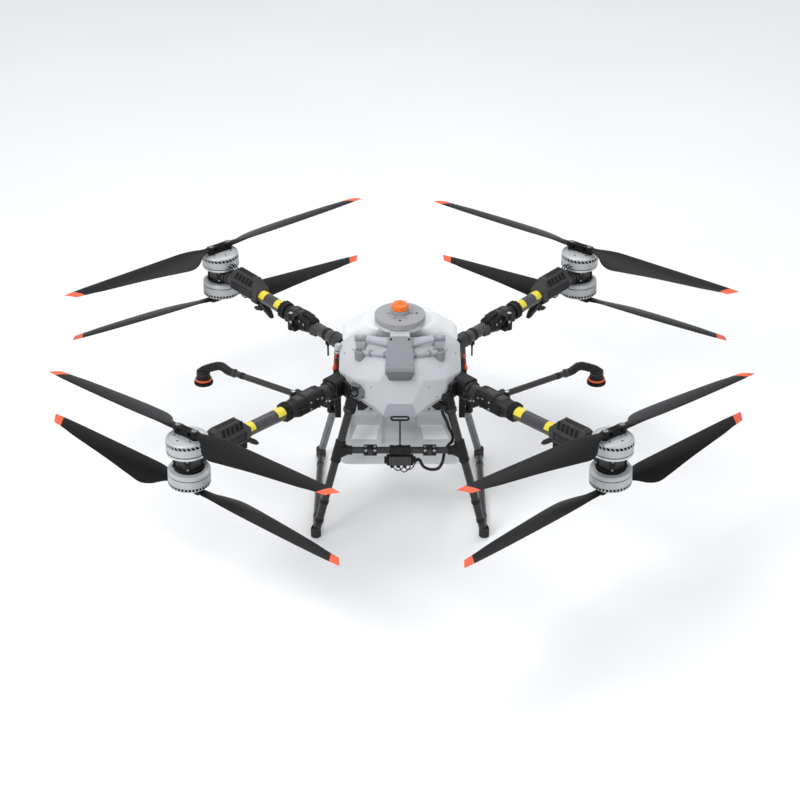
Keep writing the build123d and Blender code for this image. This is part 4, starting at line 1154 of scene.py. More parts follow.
def handle_bars():
    """Each side of the spine, an upper bar to a square pad and a lower one to a drum on the shell."""
    piece = Piece("bars_skin")
    for s in (-1, 1):
        turn = atan2(40, 102)
        bar = ((44, -203, 166, 9, 6), (92, -186, 168.5, 7, 5), (142, -164, 171, 9, 7))
        upper = [(x, y + d * cos(turn), z + e) for x, y, z, w, h in bar for d in (-w, w) for e in (-h, h)]
        piece.hull(level_with(upper, s), SHELL_TRIM_AND_SHADE, 3.5, 3)
        pad = [(x, y, z) for x in (138, 188) for y, z in ((-167, 166), (-139, 164), (-166, 180),
                                                          (-139, 182))]
        piece.hull(level_with(pad, s), SPINE, 4, 3)
        inlay = [(x, y, z) for x in (144, 182) for y in (-161, -145) for z in (180, 182)]
        piece.hull(level_with(inlay, s), SHELL_TRIM_AND_SHADE, 0.9, 2)
        post = [(x, y, 165) for y in (-168, -140) for x in (141, 185)]
        post += [(x, y, z) for y, z in ((-176, 112), (-140, 118)) for x in (146, 180)]
        piece.hull(level_with(post, s), SHELL_TRIM_AND_SHADE, 4, 3)
        path = curve(level_with([(48, -248, 146), (80, -234, 141), (114, -214, 134), (150, -192, 127)], s),
                     8)
        piece.tube(path, [12, *[11.4] * (len(path) - 2), 12], SHELL_TRIM_AND_SHADE, 28)
        drum = [(24, 96), (24.6, 112), (25, 114), (25, 131), (24, 134.4), (21, 136), (15, 136),
                (14, 135.2, GROOVE_SHADE),
                (12.4, 135.2, GROOVE_SHADE), (11.4, 136), (4.5, 136), (4, 134, SLOT_SHADE), (0, 134)]
        piece.lathe(drum, SPINE, move(s * 163, -186, MID), 48)
        collar = from_to(path[-9], path[-1])[0]
        piece.lathe([(11.5, 0), (14.4, 1), (14.4, 10), (11.5, 11)], SPINE, collar, 32)
        collar = from_to(path[2], path[8])[0]
        piece.lathe([(11.5, 0), (13.8, 1), (13.8, 9), (11.5, 10)], SPINE, collar, 32)
        for x in (150, 176):
            piece.bolt(Vector((s * x, -153, MID + 181.6)), (0, 0, 1), 3.0, 0.4)
    piece.done("airframe", "handle_bars", slot="bars")


# Height, then the outline's corners on the right half, from the back round to the front
TANK_ROWS = [
    (-417, (215, 92), (242, 60), (257, -168), (240, -192)),
    (-300, (218, 96), (244, 60), (258, -174), (241, -200)),
    (-235, (205, 96), (229, 70), (229, -160), (205, -186)),
    (-166, (190, 95), (217, 60), (217, -125), (188, -165)),
    (-120, (175, 95), (212, 65), (212, -105), (175, -150)),
    (74, (175, 104), (226, 72), (226, -80), (178, -145)),
    (96, (170, 150), (242, 105), (243, -50), (176, -122)),
    (126, (165, 142), (240, 80), (240, -32), (156, -100)),
    (200, (112, 84), (138, 30), (150, -40), (108, -116)),
]


def ease(x):
    """0 below 0, 1 above 1, and a soft step between."""
    x = min(max(x, 0.0), 1.0)
    return x * x * (3 - 2 * x)


def tank_corners(z):
    """The tank's outline corners at a height, the rows blended softly into each other."""
    rows = TANK_ROWS
    k = max(i for i in range(len(rows) - 1) if rows[i][0] <= z or i == 0)
    t = (z - rows[k][0]) / (rows[k + 1][0] - rows[k][0])
    return [Vector(a).lerp(Vector(b), t) for a, b in zip(rows[k][1:], rows[k + 1][1:])]


def tank_outline(z, inset=0.0, cut=0.42):
    """Rounded outline of the tank at a height, the same number of points at every height."""
    soft, lowest, highest = 9.0, TANK_ROWS[0][0], TANK_ROWS[-1][0]
    below, above = tank_corners(max(z - soft, lowest)), tank_corners(min(z + soft, highest))
    corners = [(a + b) / 2 for a, b in zip(below, above)]
    loop = corners + [Vector((-p.x, p.y)) for p in reversed(corners)]
    count = len(loop)
    outline = []
    for i in range(count):
        before, here, after = loop[i - 1], loop[i], loop[(i + 1) % count]
        a = here + (before - here) * min(cut, 34 / (before - here).length)
        b = here + (after - here) * min(cut, 34 / (after - here).length)
        for k in range(9):
            t = k / 8
            outline.append(a * (1 - t) ** 2 + here * 2 * t * (1 - t) + b * t**2)
        after_start = after + (here - after) * min(cut, 34 / (after - here).length)
        straight = 56 if i == 3 else 20
        for k in range(1, straight):
            outline.append(b + (after_start - b) * k / straight)
    middle = Vector((0, -30))
    return [p - (p - middle).normalized() * inset for p in outline]


def tank():
    """Milky tank: dome with a lip, waist, and lower lobes painted darker as shade, with clear panes painted
    lighter as a reflection either side of a channel.
    """
    piece = Piece("tank_skin")
    heights = [(-417, 16), (-416, 8), (-412, 3), (-405, 0)]
    z = -398
    while z < 184:
        heights.append((z, 0))
        z += 5 if -320 < z < -150 or 60 < z < 150 else 9
    heights += [(188, 0), (194, 1.5), (198, 4), (200, 9)]
    points = []
    for z, inset in heights:
        for x, y in tank_outline(z, inset):
            if y < -60:
                band = ease((z + 322) / 22) * ease((-178 - z) / 22)
                y += 20 * ease((80 - abs(x)) / 16) * band
                ribs = ease((z + 392) / 10) * ease((-334 - z) / 10)
                y += 7 * ribs * ease((176 - abs(x)) / 10)
                y += 26 * ease((z + 294) / 58) * ease((-172 - z) / 34) * ease((214 - abs(x)) / 14)
                y += 5 * ease((z + 100) / 14) * ease((54 - z) / 14) * ease((150 - abs(x)) / 12)
            if abs(x) > 190:
                upright = ease((z + 392) / 12) * ease((-196 - z) / 12)
                x -= (6 if x > 0 else -6) * upright * ease((y + 130) / 14) * ease((46 - y) / 14)
            points.append((x, y, MID + z))
    count = len(points) // len(heights)
    clear = [88 < abs(x) < 196 and y < -60 for x, y in tank_outline(-262)]
    faces, materials = [], []
    for k in range(len(heights) - 1):
        for i in range(count):
            j = (i + 1) % count
            faces.append((k * count + i, k * count + j, (k + 1) * count + j, (k + 1) * count + i))
            # The panes take a lighter grey as painted reflection; the rest below -150 a darker grey as
            # painted shade
            pane = clear[i] and clear[j] and heights[k][0] > -292 and heights[k + 1][0] < -234
            materials.append(TANK_PANE_REFLECTION if pane else TANK_LOW_SHADE if heights[k][0] < -150 else TANK)
    faces.append(tuple(range(count)))
    materials.append(TANK_LOW_SHADE)
    faces.append(tuple(range((len(heights) - 1) * count, len(heights) * count)))
    materials.append(TANK)
    piece.mesh(points, faces, TANK, Matrix(), None, materials)
    neck = move(0, LID_Y, MID)
    piece.lathe([(99, 196), (98, 200), (98, 202), (99.5, 203), (99.5, 206), (98, 207), (98, 212.6),
                 (96, 213), (90, 213),
                 (90, 196)], TANK, neck, 96)
    hinge = LID_Y + LID_R + 12
    for x in (-26, 26):
        lug = [(x + d, hinge + e, z) for d in (-6, 6) for e,
               z in ((-8, 196), (8, 196), (-8, 222), (8, 222), (-3, 228), (3, 228))]
        piece.hull(level_with(lug), LID, 1.5, 2)
    piece.tube([(-34, hinge, MID + 220), (34, hinge, MID + 220)], 4, STEEL, 18)
    piece.done("airframe", "tank", slot="tank", sharp=48, weighted=False)


def tank_lid():
    """Round lid with a stepped rim, grip notches, ring of small screws and the vent collar."""
    piece = Piece("lid_skin")
    place = move(0, LID_Y, MID)

    def notched(r, height, i):
        return r - 1.5 if r > 104.4 and i % 6 in (0, 1) and 219 < height < 234 else r
    piece.lathe([(0, 213.8), (103.5, 213.8), (105, 215), (106, 217), (106, 219), (105.5, 220), (105.5, 233),
                 (106, 234),
                 (106, 236.5), (104.6, 239.6), (101, 241), (94, 241), (92.6, 240.4), (91, 240.4),
                 (89.6, 241),
                 (46, 241), (42, 242), (39.4, 244), (37, 246),
                 (37, 259.6), (35.8, 261.4), (33.5, 262), (12, 262), (10.4, 260, SLOT_SHADE), (10.4, 248, SLOT_SHADE),
                 (0, 248)],
                LID, place, 144, notched)
    for bearing in (0, 90, 270):
        b = radians(bearing)
        at = Vector((69 * cos(b), LID_Y + 69 * sin(b), MID + 240.8))
        piece.lathe([(9, -0.4), (9, 0.6), (7.4, 1.2), (5.6, 1.2)], LID, move(*at), 28)
        piece.bolt(at + Vector((0, 0, 0.9)), (0, 0, 1), 4.2, 2.0, BLACK)
    for k in range(6):
        turned = place @ rot("Z", 60 * k)
        rib = [(x, y, z) for x in (44, 58) for y in (-3.2, 3.2) for z in (240, 243.4)]
        piece.hull(rib + [(41, -2.6, 246.5), (41, 2.6, 246.5)], LID, 1.2, 2, turned)
    for k in range(16):
        turned = place @ rot("Z", 22.5 * k)
        piece.box((36.2, 38.4), (-2.4, 2.4), (246, 259), LID, 0.8, turned)
    hinge = LID_Y + LID_R + 12
    piece.box((-19, 19), (LID_Y + 92, hinge - 3), (MID + 215, MID + 226), LID, 1.5)
    barrel = move(0, hinge, MID + 220) @ rot("Y", 90)
    piece.lathe([(4.3, -19.4), (7, -19.4), (7, 19.4), (4.3, 19.4)], LID, barrel, 28)
    piece.done("lid", "tank_lid", slot="lid")


def lid_knob():
    """Vent cap with eight finger lobes and its spike."""
    piece = Piece("knob_skin")

    def lobed(r, height, i):
        return r + 1.9 * cos(8 * 2 * pi * i / 128) * (r / 34) ** 2 if r > 20 and 262 < height < 287 else r
    piece.lathe([(0, 262.4), (31, 262.4), (33.2, 263.4), (34.0, 265.5), (34.0, 281), (33, 284.4),
                 (30.4, 286.2), (24, 287),
                 (22, 288), (21.6, 290.5), (20, 292.4), (16, 293), (7, 293.2), (4.4, 294.4), (3.9, 299.4),
                 (2.8, 300.8),
                 (0, 301)], ORANGE, move(0, LID_Y, MID), 128, lobed)
    piece.lathe([(9.6, 250.6), (9.6, 262.6)], BLACK, move(0, LID_Y, MID), 32)
    for k in range(3):
        b = radians(120 * k + 30)
        at = Vector((14 * cos(b), LID_Y + 14 * sin(b), MID + 293))
        piece.lathe([(2.4, -1), (2.4, 0.15, SLOT_SHADE), (0, 0.15)], SLOT_SHADE, from_to(at, at + Vector((0, 0, 1)))[0],
                    14)
    piece.done("knob", "lid_knob", slot="knob")


def latch(sx, name):
    """Orange-red over-centre lever with a ribbed grip."""
    piece = Piece(f"{name}_skin")
    piece.hull([(sx * x, LATCH_Y + y, LATCH_Z + z) for y in (-17.5, 17.5) for x, z in (
        (265, -2), (273, -2), (264.5, -44), (274, -46), (265, -50), (275, -51))], RED, 2.0, 3)
    piece.hull([(sx * x, LATCH_Y + y, LATCH_Z + z) for y in (-14, 14) for x, z in (
        (270, -46), (270, -54), (284, -48), (283.5, -52.5))], RED, 1.6, 3)
    for k in range(5):
        z = LATCH_Z - 12 - 7 * k
        piece.box(sorted((sx * 272.6, sx * 275.2)), (LATCH_Y - 12, LATCH_Y + 12), (z - 1.5, z + 1.5), RED,
                  0.8)
    for low, high in ((-19, -5), (5, 19)):
        piece.lathe([(3.3, low), (5.6, low), (6, low + 0.5), (6, high - 0.5), (5.6, high), (3.3, high)],
                    RED,
                    move(sx * LATCH_X, LATCH_Y, LATCH_Z) @ rot("X", 90), 28)
    piece.done(name, name, slot="latch")


def battery():
    """Battery case with ribbed back, gauge strip, vents and its handle."""
    piece = Piece("battery_skin")
    low, high = MID - 50, MID + 74
    front, back = 112, 296
    outline = [(112, 65), (103, 74), (-103, 74), (-112, 65), (-112, -41), (-103, -50), (103, -50),
               (112, -41)]
    upright = move(0, 0, MID) @ rot("X", 90)
    piece.prism(outline, -(back - 22), -front, CHARCOAL, 3, upright, 3)
    piece.prism([(x * 0.99, z) for x, z in outline], -back, -(back - 20), BLACK, 4, upright, 3)
    for k in range(9):
        y = front + 16 + 17 * k
        for s in (-1, 1):
            piece.box(sorted((s * 110.6, s * 112)), (y, y + 8), (low + 18, high - 18), BLACK, 0.6)
        piece.box((-92, 92), (y, y + 7), (high - 1.5, high), BLACK, 0.6)
    for s in (-1, 1):
        bracket = [(x, y, z) for x in (56, 70) for y in (back - 2, back + 32) for z in (-4, 14)]
        piece.hull(level_with(bracket, s), DEEP, 3, 3)
    piece.tube([(-66, back + 25, MID + 5), (66, back + 25, MID + 5)], 8.6, DEEP, 28)
    for k in range(11):
        ring = move(10 * k - 50, back + 25, MID + 5) @ rot("Y", 90)
        piece.lathe([(8.6, -1.6), (9, -1), (9, 1), (8.6, 1.6)], BLACK, ring, 28)
    for z in (MID + 32, MID + 42, MID + 52):
        piece.box((-86, 86), (back - 1, back), (z - 2, z + 2), CHARCOAL, 0.4)
    for x in (-96, 96):
        for z in (low + 12, high - 14):
            piece.bolt(Vector((x, back - 1.2, z)), (0, 1, 0), 4, 1.1)
    piece.done("battery", "battery", slot="battery")


def frame_metal():
    """Ring frame, arm roots, leg sockets, lance posts, tray, latch plates and shell brackets."""
    piece = Piece("frame_skin")
    low, high = FRAME_LOW, FRAME_HIGH
    piece.box((-224, 224), (-243, -215), (low, high), BLACK, 3)
    piece.box((-224, 224), (272, 300), (low - 42, high - 42), BLACK, 3)
    for k in range(9):
        x = -160 + 40 * k
        piece.box((x - 13, x + 13), (299.2, 300), (low - 32, high - 52), DEEP, 0.4)
        piece.box((x - 13, x + 13), (-243, -242.4), (low + 9, high - 9), DEEP, 0.3)
    for s in (-1, 1):
        piece.box(sorted((s * 252, s * 280)), (-170, 190), (low, high), BLACK, 3)
        piece.box(sorted((s * 190, s * 225)), (215, 300), (low - 42, high), BLACK, 3)
        piece.box(sorted((s * 254, s * 280)), (6, 66), (MID - 300, low + 2), BLACK, 3)
        for k in range(7):
            y = -140 + 42 * k
            piece.box(sorted((s * 279.6, s * 281.2)), (y, y + 28), (low + 9, high - 9), CHARCOAL, 0.6)
            metal = ANODISED if k % 3 else STEEL
            piece.bolt((s * 280, y + 35, MID - 35), (s, 0, 0), 3.2, 2.0, metal)
        for k in range(4):
            z = MID - 110 - 48 * k
            piece.box(sorted((s * 279.6, s * 281)), (16, 56), (z - 16, z + 16), CHARCOAL, 0.6)
        x, y, z = LANCE_ROOT
        for bottom, top in ((-26, -14), (14, 26)):
            eye = [(6, bottom), (15, bottom), (16, bottom + 1), (16, top - 1), (15, top), (6, top)]
            piece.lathe(eye, BLACK, move(s * x, y, z), 32)
            piece.box(sorted((s * 270, s * x)), (y - 15.5, y + 15.5), (z + bottom, z + top), BLACK, 1.5)
        half_pin = [(0, 30.5), (8, 30.5), (9, 29.4), (9, 26), (6, 26)]
        piece.lathe(half_pin + [(r, -h) for r, h in reversed(half_pin)], STEEL, move(s * x, y, z), 24)
        plate_y = (LATCH_Y - 26, LATCH_Y + 26)
        piece.box(sorted((s * 256, s * 261)), plate_y, (MID - 8, MID + 64), CHARCOAL, 1.2)
        for near in (LATCH_Y - 26, LATCH_Y + 20):
            ear = [(s * a, b, LATCH_Z + c) for b in (near, near + 6)
                   for a, c in ((256, -10), (256, 10), (272, -6), (274, 0), (272, 6))]
            piece.hull(ear, CHARCOAL, 1, 2)
        piece.tube([(s * LATCH_X, LATCH_Y - 28, LATCH_Z), (s * LATCH_X, LATCH_Y + 28, LATCH_Z)], 3, STEEL,
                   16)
        for d in (-20, 20):
            piece.bolt((s * 261, LATCH_Y + d, MID + 57), (s, 0, 0), 2.8, 1.6)
        bracket = [(x, y, z) for y in (-262, -250)
                   for x, z in ((176, -70), (176, -108), (150, -108), (124, -84), (124, -76), (150, -64))]
        piece.hull(level_with(bracket, s), BLACK, 1.8, 2)
        tongue = [(x, y, z) for y in (-262, -250) for x in (116, 124) for z in (-76, -106)]
        piece.hull(level_with(tongue, s), BLACK, 1.5, 2)
        piece.bolt(Vector((s * 160, -262, MID - 88)), (0, -1, 0), 4.6, 3.0)
        piece.bolt(Vector((s * 139, -262, MID - 76)), (0, -1, 0), 3.2, 2.2)
    for corner, (sx, sy) in CORNERS.items():
        level, start = level_frame(corner), -split_length(corner)
        turned = arm_frame(corner) @ rot("Y", 90)
        if sy < 0:
            section = ((41, 29), (29, 41), (-29, 41), (-41, 29), (-41, -29), (-29, -41), (29, -41),
                       (41, -29))
            piece.hull([(x, y, z) for x in (start - 54, start + 32) for y, z in section], BLACK, 5, 3,
                       level)
            lip = [(FRONT_INNER_R + 0.2, start + 44), (38, start + 42), (38, start + 34), (40, start + 31)]
            piece.lathe(lip, CHARCOAL, turned, 48)
            cheek = [(200, -262), (214, -262), (262, -188), (256, -166)]
            piece.hull([(sx * x, y, z) for x, y in cheek for z in (low, MID + 12)], BLACK, 3, 3)
            for x, z in ((start + 8, 18), (start + 8, -18), (start - 26, 0)):
                for s in (-1, 1):
                    piece.bolt_on(level, (x, s * 41, z), (0, s, 0), 4.2, 3)
        else:
            socket = [(0, -40), (34, -40), (34, 22), (33, 25), (31, 26), (30.4, 31),
                      (REAR_INNER_R + 0.2, 32)]
            piece.lathe([(r, start + h) for r, h in socket], CHARCOAL, turned, 56)
            piece.lathe([(r, start + h) for r, h in ((33.9, 6), (34.6, 7), (34.6, 13), (33.9, 14))], BLACK,
                        turned, 56)
        top, foot = leg_line(sx, sy < 0)
        down = (foot - top).normalized()
        sleeve, _ = from_to(top - down * 12, foot)
        piece.lathe([(0, 0), (23, 0), (26, 3), (26, 60), (24.6, 62), (24.6, 70), (26, 72), (26, 88),
                     (24, 92),
                     (LEG_R + 0.2, 92)], BLACK, sleeve, 48)
        piece.lathe([(26.2, 74), (27, 75), (27, 85), (26.2, 86)], CHARCOAL, sleeve, 48)
        piece.box((22, 30), (-8, 8), (70, 90), BLACK, 1.5, sleeve)
        piece.bolt_on(sleeve, (26, 8, 80), (0, 1, 0), 3.4, 2.4)
    piece.box((167, 189), (-304, -282), (596, 614), BLACK, 2)
    piece.lathe([(6.7, -10), (9.5, -10), (10.5, -8), (10.5, -2), (9, 0)], CHARCOAL, move(177, -293, 596),
                24)
    piece.box((-120, 120), (102, 272), (MID - 56, MID - 50.4), BLACK, 1.2)
    for s in (-1, 1):
        piece.box(sorted((s * 112.4, s * 120)), (102, 272), (MID - 56, MID + 10), BLACK, 1.2)
        for k in range(4):
            piece.bolt(Vector((s * 120, 126 + 40 * k, MID - 20)), (s, 0, 0), 3.2, 1.8)
    piece.box((-60, 60), (104.5, 111.6), (MID - 56, MID + 24), DEEP, 1.0)
    piece.done("airframe", "fuselage_frame", slot="frame")


def pumps():
    """Two pumps with finned motors, cast volutes and pipe stubs."""
    piece = Piece("pumps_skin")
    for s in (-1, 1):
        place = move(s * 105, 116, MID - 350) @ rot("X", -90)
        profile = [(0, 0), (34, 0), (36, 2), (36, 20), (34, 22, GROOVE_SHADE), (34, 24, GROOVE_SHADE), (36, 26)]
        for k in range(8):
            z = 28 + 6 * k
            profile += [(36, z), (36, z + 3), (32.5, z + 3.4), (32.5, z + 5.6)]
        profile += [(34, 78), (34, 84), (31, 86), (0, 86)]
        piece.lathe(profile, BLACK, place, 64)
        piece.lathe([(20, -19), (20, 0.5)], DEEP, place, 32)
        piece.tube([(s * 105, 140, MID - 350), (s * 170, 140, MID - 350)], 11, BLACK, 24)
        for x in (150, 158, 166):
            piece.lathe([(11, -2), (12.4, 0), (11, 2)], DEEP, move(s * x, 140, MID - 350) @ rot("Y", 90),
                        24)
        for k in range(6):
            b = radians(60 * k)
            at = place @ Vector((28 * cos(b), 28 * sin(b), 86))
            piece.bolt(at, (0, 1, 0), 2.6, 1.2)
    piece.done("airframe", "pumps", slot="pump")


# Landing gear


def legs():
    """Leg tubes with their couplings, and the skid tubes."""
    piece = Piece("legs_skin")
    for front in (True, False):
        for sx in (-1, 1):
            top = leg_line(sx, front)[0]
            end = leg_point(sx, front, 24)
            steps = 40
            line = [top + (end - top) * k / steps for k in range(steps + 1)]
            matrix, length = from_to(top, end)
            if front:
                piece.tube(line, LEG_R, GLOSS_TUBE, 40)
                for low in (length - 150, length - 62):
                    ring = [(LEG_R + 0.1, low), (19.4, low + 1), (19.4, low + 15), (LEG_R + 0.1, low + 16)]
                    piece.lathe(ring, BLACK, matrix, 40)
            else:
                # The upper stretch takes the lighter grey as painted reflection
                piece.tube(line[:14], LEG_R, LEG_REFLECTION_GREY, 40)
                piece.tube(line[13:], LEG_R, LEG_DARK, 40)
                piece.lathe([(LEG_R + 0.1, 128), (20.4, 130), (21.4, 134), (21.4, 198), (20, 202),
                             (LEG_R + 0.1, 203, LAMP),
                             (20.6, 205, LAMP), (21, 208, LAMP), (21, 226, LAMP), (LEG_R + 0.1, 232)],
                            BLACK, matrix, 48)
                for k in range(20):
                    piece.box((20.8, 22.4), (-1.6, 1.6), (138, 194), DEEP, 0.6, matrix @ rot("Z", 18 * k),
                              1)
    for sx in (-1, 1):
        start, end = (leg_point(sx, front, FOOT_Z) for front in (True, False))
        a, b = Vector((start.x, start.y + 16, FOOT_Z)), Vector((end.x, end.y - 16, FOOT_Z))
        piece.tube([a + (b - a) * k / 40 for k in range(41)], 15, GLOSS_TUBE, 36)
        for k in (0.16, 0.84):
            matrix, _ = from_to(a + (b - a) * k, b)
            piece.lathe([(15.1, 0), (16.6, 1), (16.6, 13), (15.1, 14)], BLACK, matrix, 36)
    piece.done("airframe", "landing_legs", slot="legs", weighted=False)


def feet():
    """Ribbed rubber feet."""
    piece = Piece("feet_skin")
    for sx in (-1, 1):
        for front in (True, False):
            foot = leg_line(sx, front)[1]
            profile = [(0, 0), (18, 0), (21, 1.5), (22, 4)]
            for k in range(4):
                z = 7 + 6 * k
                profile += [(22, z), (20.4, z + 1.4), (20.4, z + 3), (22, z + 4.4)]
            profile += [(22, 34), (21.4, 40), (19, 43.5), (LEG_R + 0.3, 44)]
            piece.lathe(profile, RUBBER, move(foot.x, foot.y, 0), 56)
            inward = 1 if front else -1
            matrix, _ = from_to((foot.x, foot.y, FOOT_Z), (foot.x, foot.y + inward * 42, FOOT_Z))
            boot = [(0, 0), (19, 4), (19, 20), (17.8, 21), (17.8, 24), (19, 25), (19, 38), (17.5, 41.5),
                    (15.2, 42)]
            piece.lathe(boot, RUBBER, matrix, 48)
            piece.bolt(Vector((foot.x + sx * 21.4, foot.y, 26)), (sx, 0, 0), 3.6, 0.5)
    piece.done("airframe", "rubber_feet", slot="rubber")


def tees():
    """Moulded tees where the crossbar meets the front legs, with gussets and clamp screws."""
    piece = Piece("tees_skin")
    for sx in (-1, 1):
        top, foot = leg_line(sx, True)
        hub = leg_point(sx, True, CROSSBAR_Z)
        down = (foot - top).normalized()
        matrix, _ = from_to(hub - down * 46, foot)
        piece.lathe([(LEG_R + 0.2, 0), (20.5, 0), (22, 1.6), (22, 16), (21, 17), (21, 22), (22, 23),
                     (22, 76), (21, 77), (21, 82),
                     (22, 83), (22, 96.4), (20.5, 98), (LEG_R + 0.2, 98)], BLACK, matrix, 48)
        arm, length = from_to(hub, (sx * 200, hub.y, CROSSBAR_Z))
        piece.lathe([(20, 10), (20, length - 14), (19, length - 12), (19, length - 8), (20, length - 6),
                     (20, length - 1.5),
                     (18.6, length), (14.7, length)], BLACK, arm, 48)
        points = []
        for y in (hub.y - 8, hub.y + 8):
            for p in (hub - down * 42, hub + down * 48):
                points.append((p.x, y, p.z))
            points += [(sx * 206, y, CROSSBAR_Z + 12), (sx * 206, y, CROSSBAR_Z - 12)]
        piece.hull(points, BLACK, 2.4, 3)
        for z in (20, -20):
            inner = [(hub - down * (30 if z > 0 else -34)), Vector((sx * 214, hub.y, CROSSBAR_Z + z * 0.5))]
            middle = (inner[0] + inner[1]) / 2
            piece.box((middle.x - 5, middle.x + 5), (hub.y - 7, hub.y - 9.2), (middle.z - 5, middle.z + 5),
                      DEEP, 1)
        for offset in (-32, 34):
            at = hub + down * offset + Vector((0, -21, 0))
            piece.bolt(at, (0, -1, 0), 4.2, 3.2)
        piece.bolt(Vector((sx * 216, hub.y - 19, CROSSBAR_Z)), (0, -1, 0), 4.2, 3.2)
    piece.done("airframe", "leg_joints", slot="tee")


def crossbar():
    """Crossbar with two split clamps, the middle boss and the pull rod with its oval ring."""
    piece = Piece("crossbar_skin")
    y = leg_point(1, True, CROSSBAR_Z).y
    piece.tube([(-232 + 11.6 * k, y, CROSSBAR_Z) for k in range(41)], 14.5, CARBON_SATIN, 40)
    for x in (-CLAMP_X, CLAMP_X):
        for low, high in ((-16.6, -1), (1, 17.6)):
            piece.box((x - 28, x + 28), (y - 19, y + 19), (CROSSBAR_Z + low, CROSSBAR_Z + high), BLACK, 3)
        piece.box((x - 26, x + 26), (y - 17.5, y + 17.5), (CROSSBAR_Z - 2, CROSSBAR_Z + 2), DEEP, 0.5)
        piece.box((x - 8, x + 8), (y - 19.8, y - 17), (CROSSBAR_Z - 12, CROSSBAR_Z + 13), CHARCOAL, 1.2)
        for d in (-19, 19):
            piece.bolt(Vector((x + d, y - 19, CROSSBAR_Z + 9)), (0, -1, 0), 4.6, 3.0, STEEL)
            piece.bolt(Vector((x + d, y - 19, CROSSBAR_Z - 9)), (0, -1, 0), 4.6, 3.0)
            piece.bolt(Vector((x + d, y, CROSSBAR_Z + 17.6)), (0, 0, 1), 4.6, 2.6, STEEL)
    boss = move(0, y, CROSSBAR_Z) @ rot("Y", 90)
    piece.lathe([(14.7, -44), (20.5, -44), (22, -42), (22, -30), (20.6, -28), (20.6, -16), (22, -14),
                 (22, 14), (20.6, 16),
                 (20.6, 28), (22, 30), (22, 42), (20.5, 44), (14.7, 44)], BLACK, boss, 48)
    for x in (-22, 22):
        piece.bolt(Vector((x, y - 20.6, CROSSBAR_Z)), (0, -1, 0), 3.8, 2.6)
    top = MID - 136
    piece.lathe([(8, 0), (8, 4), (6, 6), (3.6, 7)], BLACK, move(0, y, CROSSBAR_Z + 20), 24)
    piece.tube([(0, y, CROSSBAR_Z + 20), (0, y, top)], 3.5, BLACK, 16)
    ring = []
    for k in range(48):
        a = 2 * pi * k / 48
        straight = 26 if cos(a) > 0 else -26
        ring.append(Vector((straight + 10 * cos(a), y - 4, top + 10 + 8.5 * sin(a))))
    piece.tube([*ring, ring[0], ring[1]], 4.2, BLACK, 16, False)
    piece.done("airframe", "crossbar", slot="crossbar")


def manifold():
    """Finned flow module, its plugs, spouts and the looping cables under it."""
    piece = Piece("manifold_skin")
    y = leg_point(1, True, CROSSBAR_Z).y
    top, bottom = CROSSBAR_Z - 22, CROSSBAR_Z - 64
    piece.box((-46, 46), (y - 16.5, y + 22), (bottom, top), CHARCOAL, 2)
    piece.box((-46, 46), (y - 21, y - 14), (bottom, bottom + 5), CHARCOAL, 1.4)
    piece.box((-46, 46), (y - 21, y - 14), (top - 5, top), CHARCOAL, 1.4)
    for k in range(9):
        # The fins take the lighter grey as painted highlight
        x = -40 + 10 * k
        piece.box((x - 3, x + 3), (y - 22, y - 14), (bottom + 1, top - 1), FIN_HIGHLIGHT, 1.3)
    for x in (-46, 46):
        s = 1 if x > 0 else -1
        piece.box(sorted((x, x + s * 10)), (y - 16, y + 16), (bottom - 2, top - 6), BLACK, 2)
        piece.bolt(Vector((x + s * 5, y - 16, CROSSBAR_Z - 47)), (0, -1, 0), 3.4, 2.2)
    for x in (-61, 61):
        piece.lathe([(0, -5), (9, -5), (11.5, -4), (11.5, 0), (10.2, 1), (10.2, 4), (8, 5)], DEEP,
                    move(x, y, CROSSBAR_Z - 48) @ rot("Y", 90 if x > 0 else -90), 28)
        piece.box((x - 5, x + 5), (y - 11.5, y + 11.5), (CROSSBAR_Z - 60, CROSSBAR_Z - 36), BLACK, 2)
    for x in (-34, -8, 20):
        piece.lathe([(0, -20), (6.8, -20), (7.6, -18), (7.6, -15), (9, -14), (9, -11), (7.8, -10),
                     (7.8, -7), (9, -6), (9, 0)],
                    BLACK, move(x, y, bottom), 28)
    for x, z, dip in ((-30, -72, 26), (-4, -76, 34), (14, -70, 22)):
        path = curve([(x, y - 6, CROSSBAR_Z - 62), (x + 6, y - 12, CROSSBAR_Z + z - dip * 0.3),
                      (x + 22, y - 12, CROSSBAR_Z - 66 - dip), (x + 44, y - 8, CROSSBAR_Z - 62 - dip * 0.6),
                      (x + 52, y - 2, CROSSBAR_Z - 52)], 7)
        piece.tube([p for p in path if p.x < 58 or p.z > CROSSBAR_Z - 60], 2.4, HOSE, 12)
    piece.done("airframe", "spray_manifold", slot="manifold")


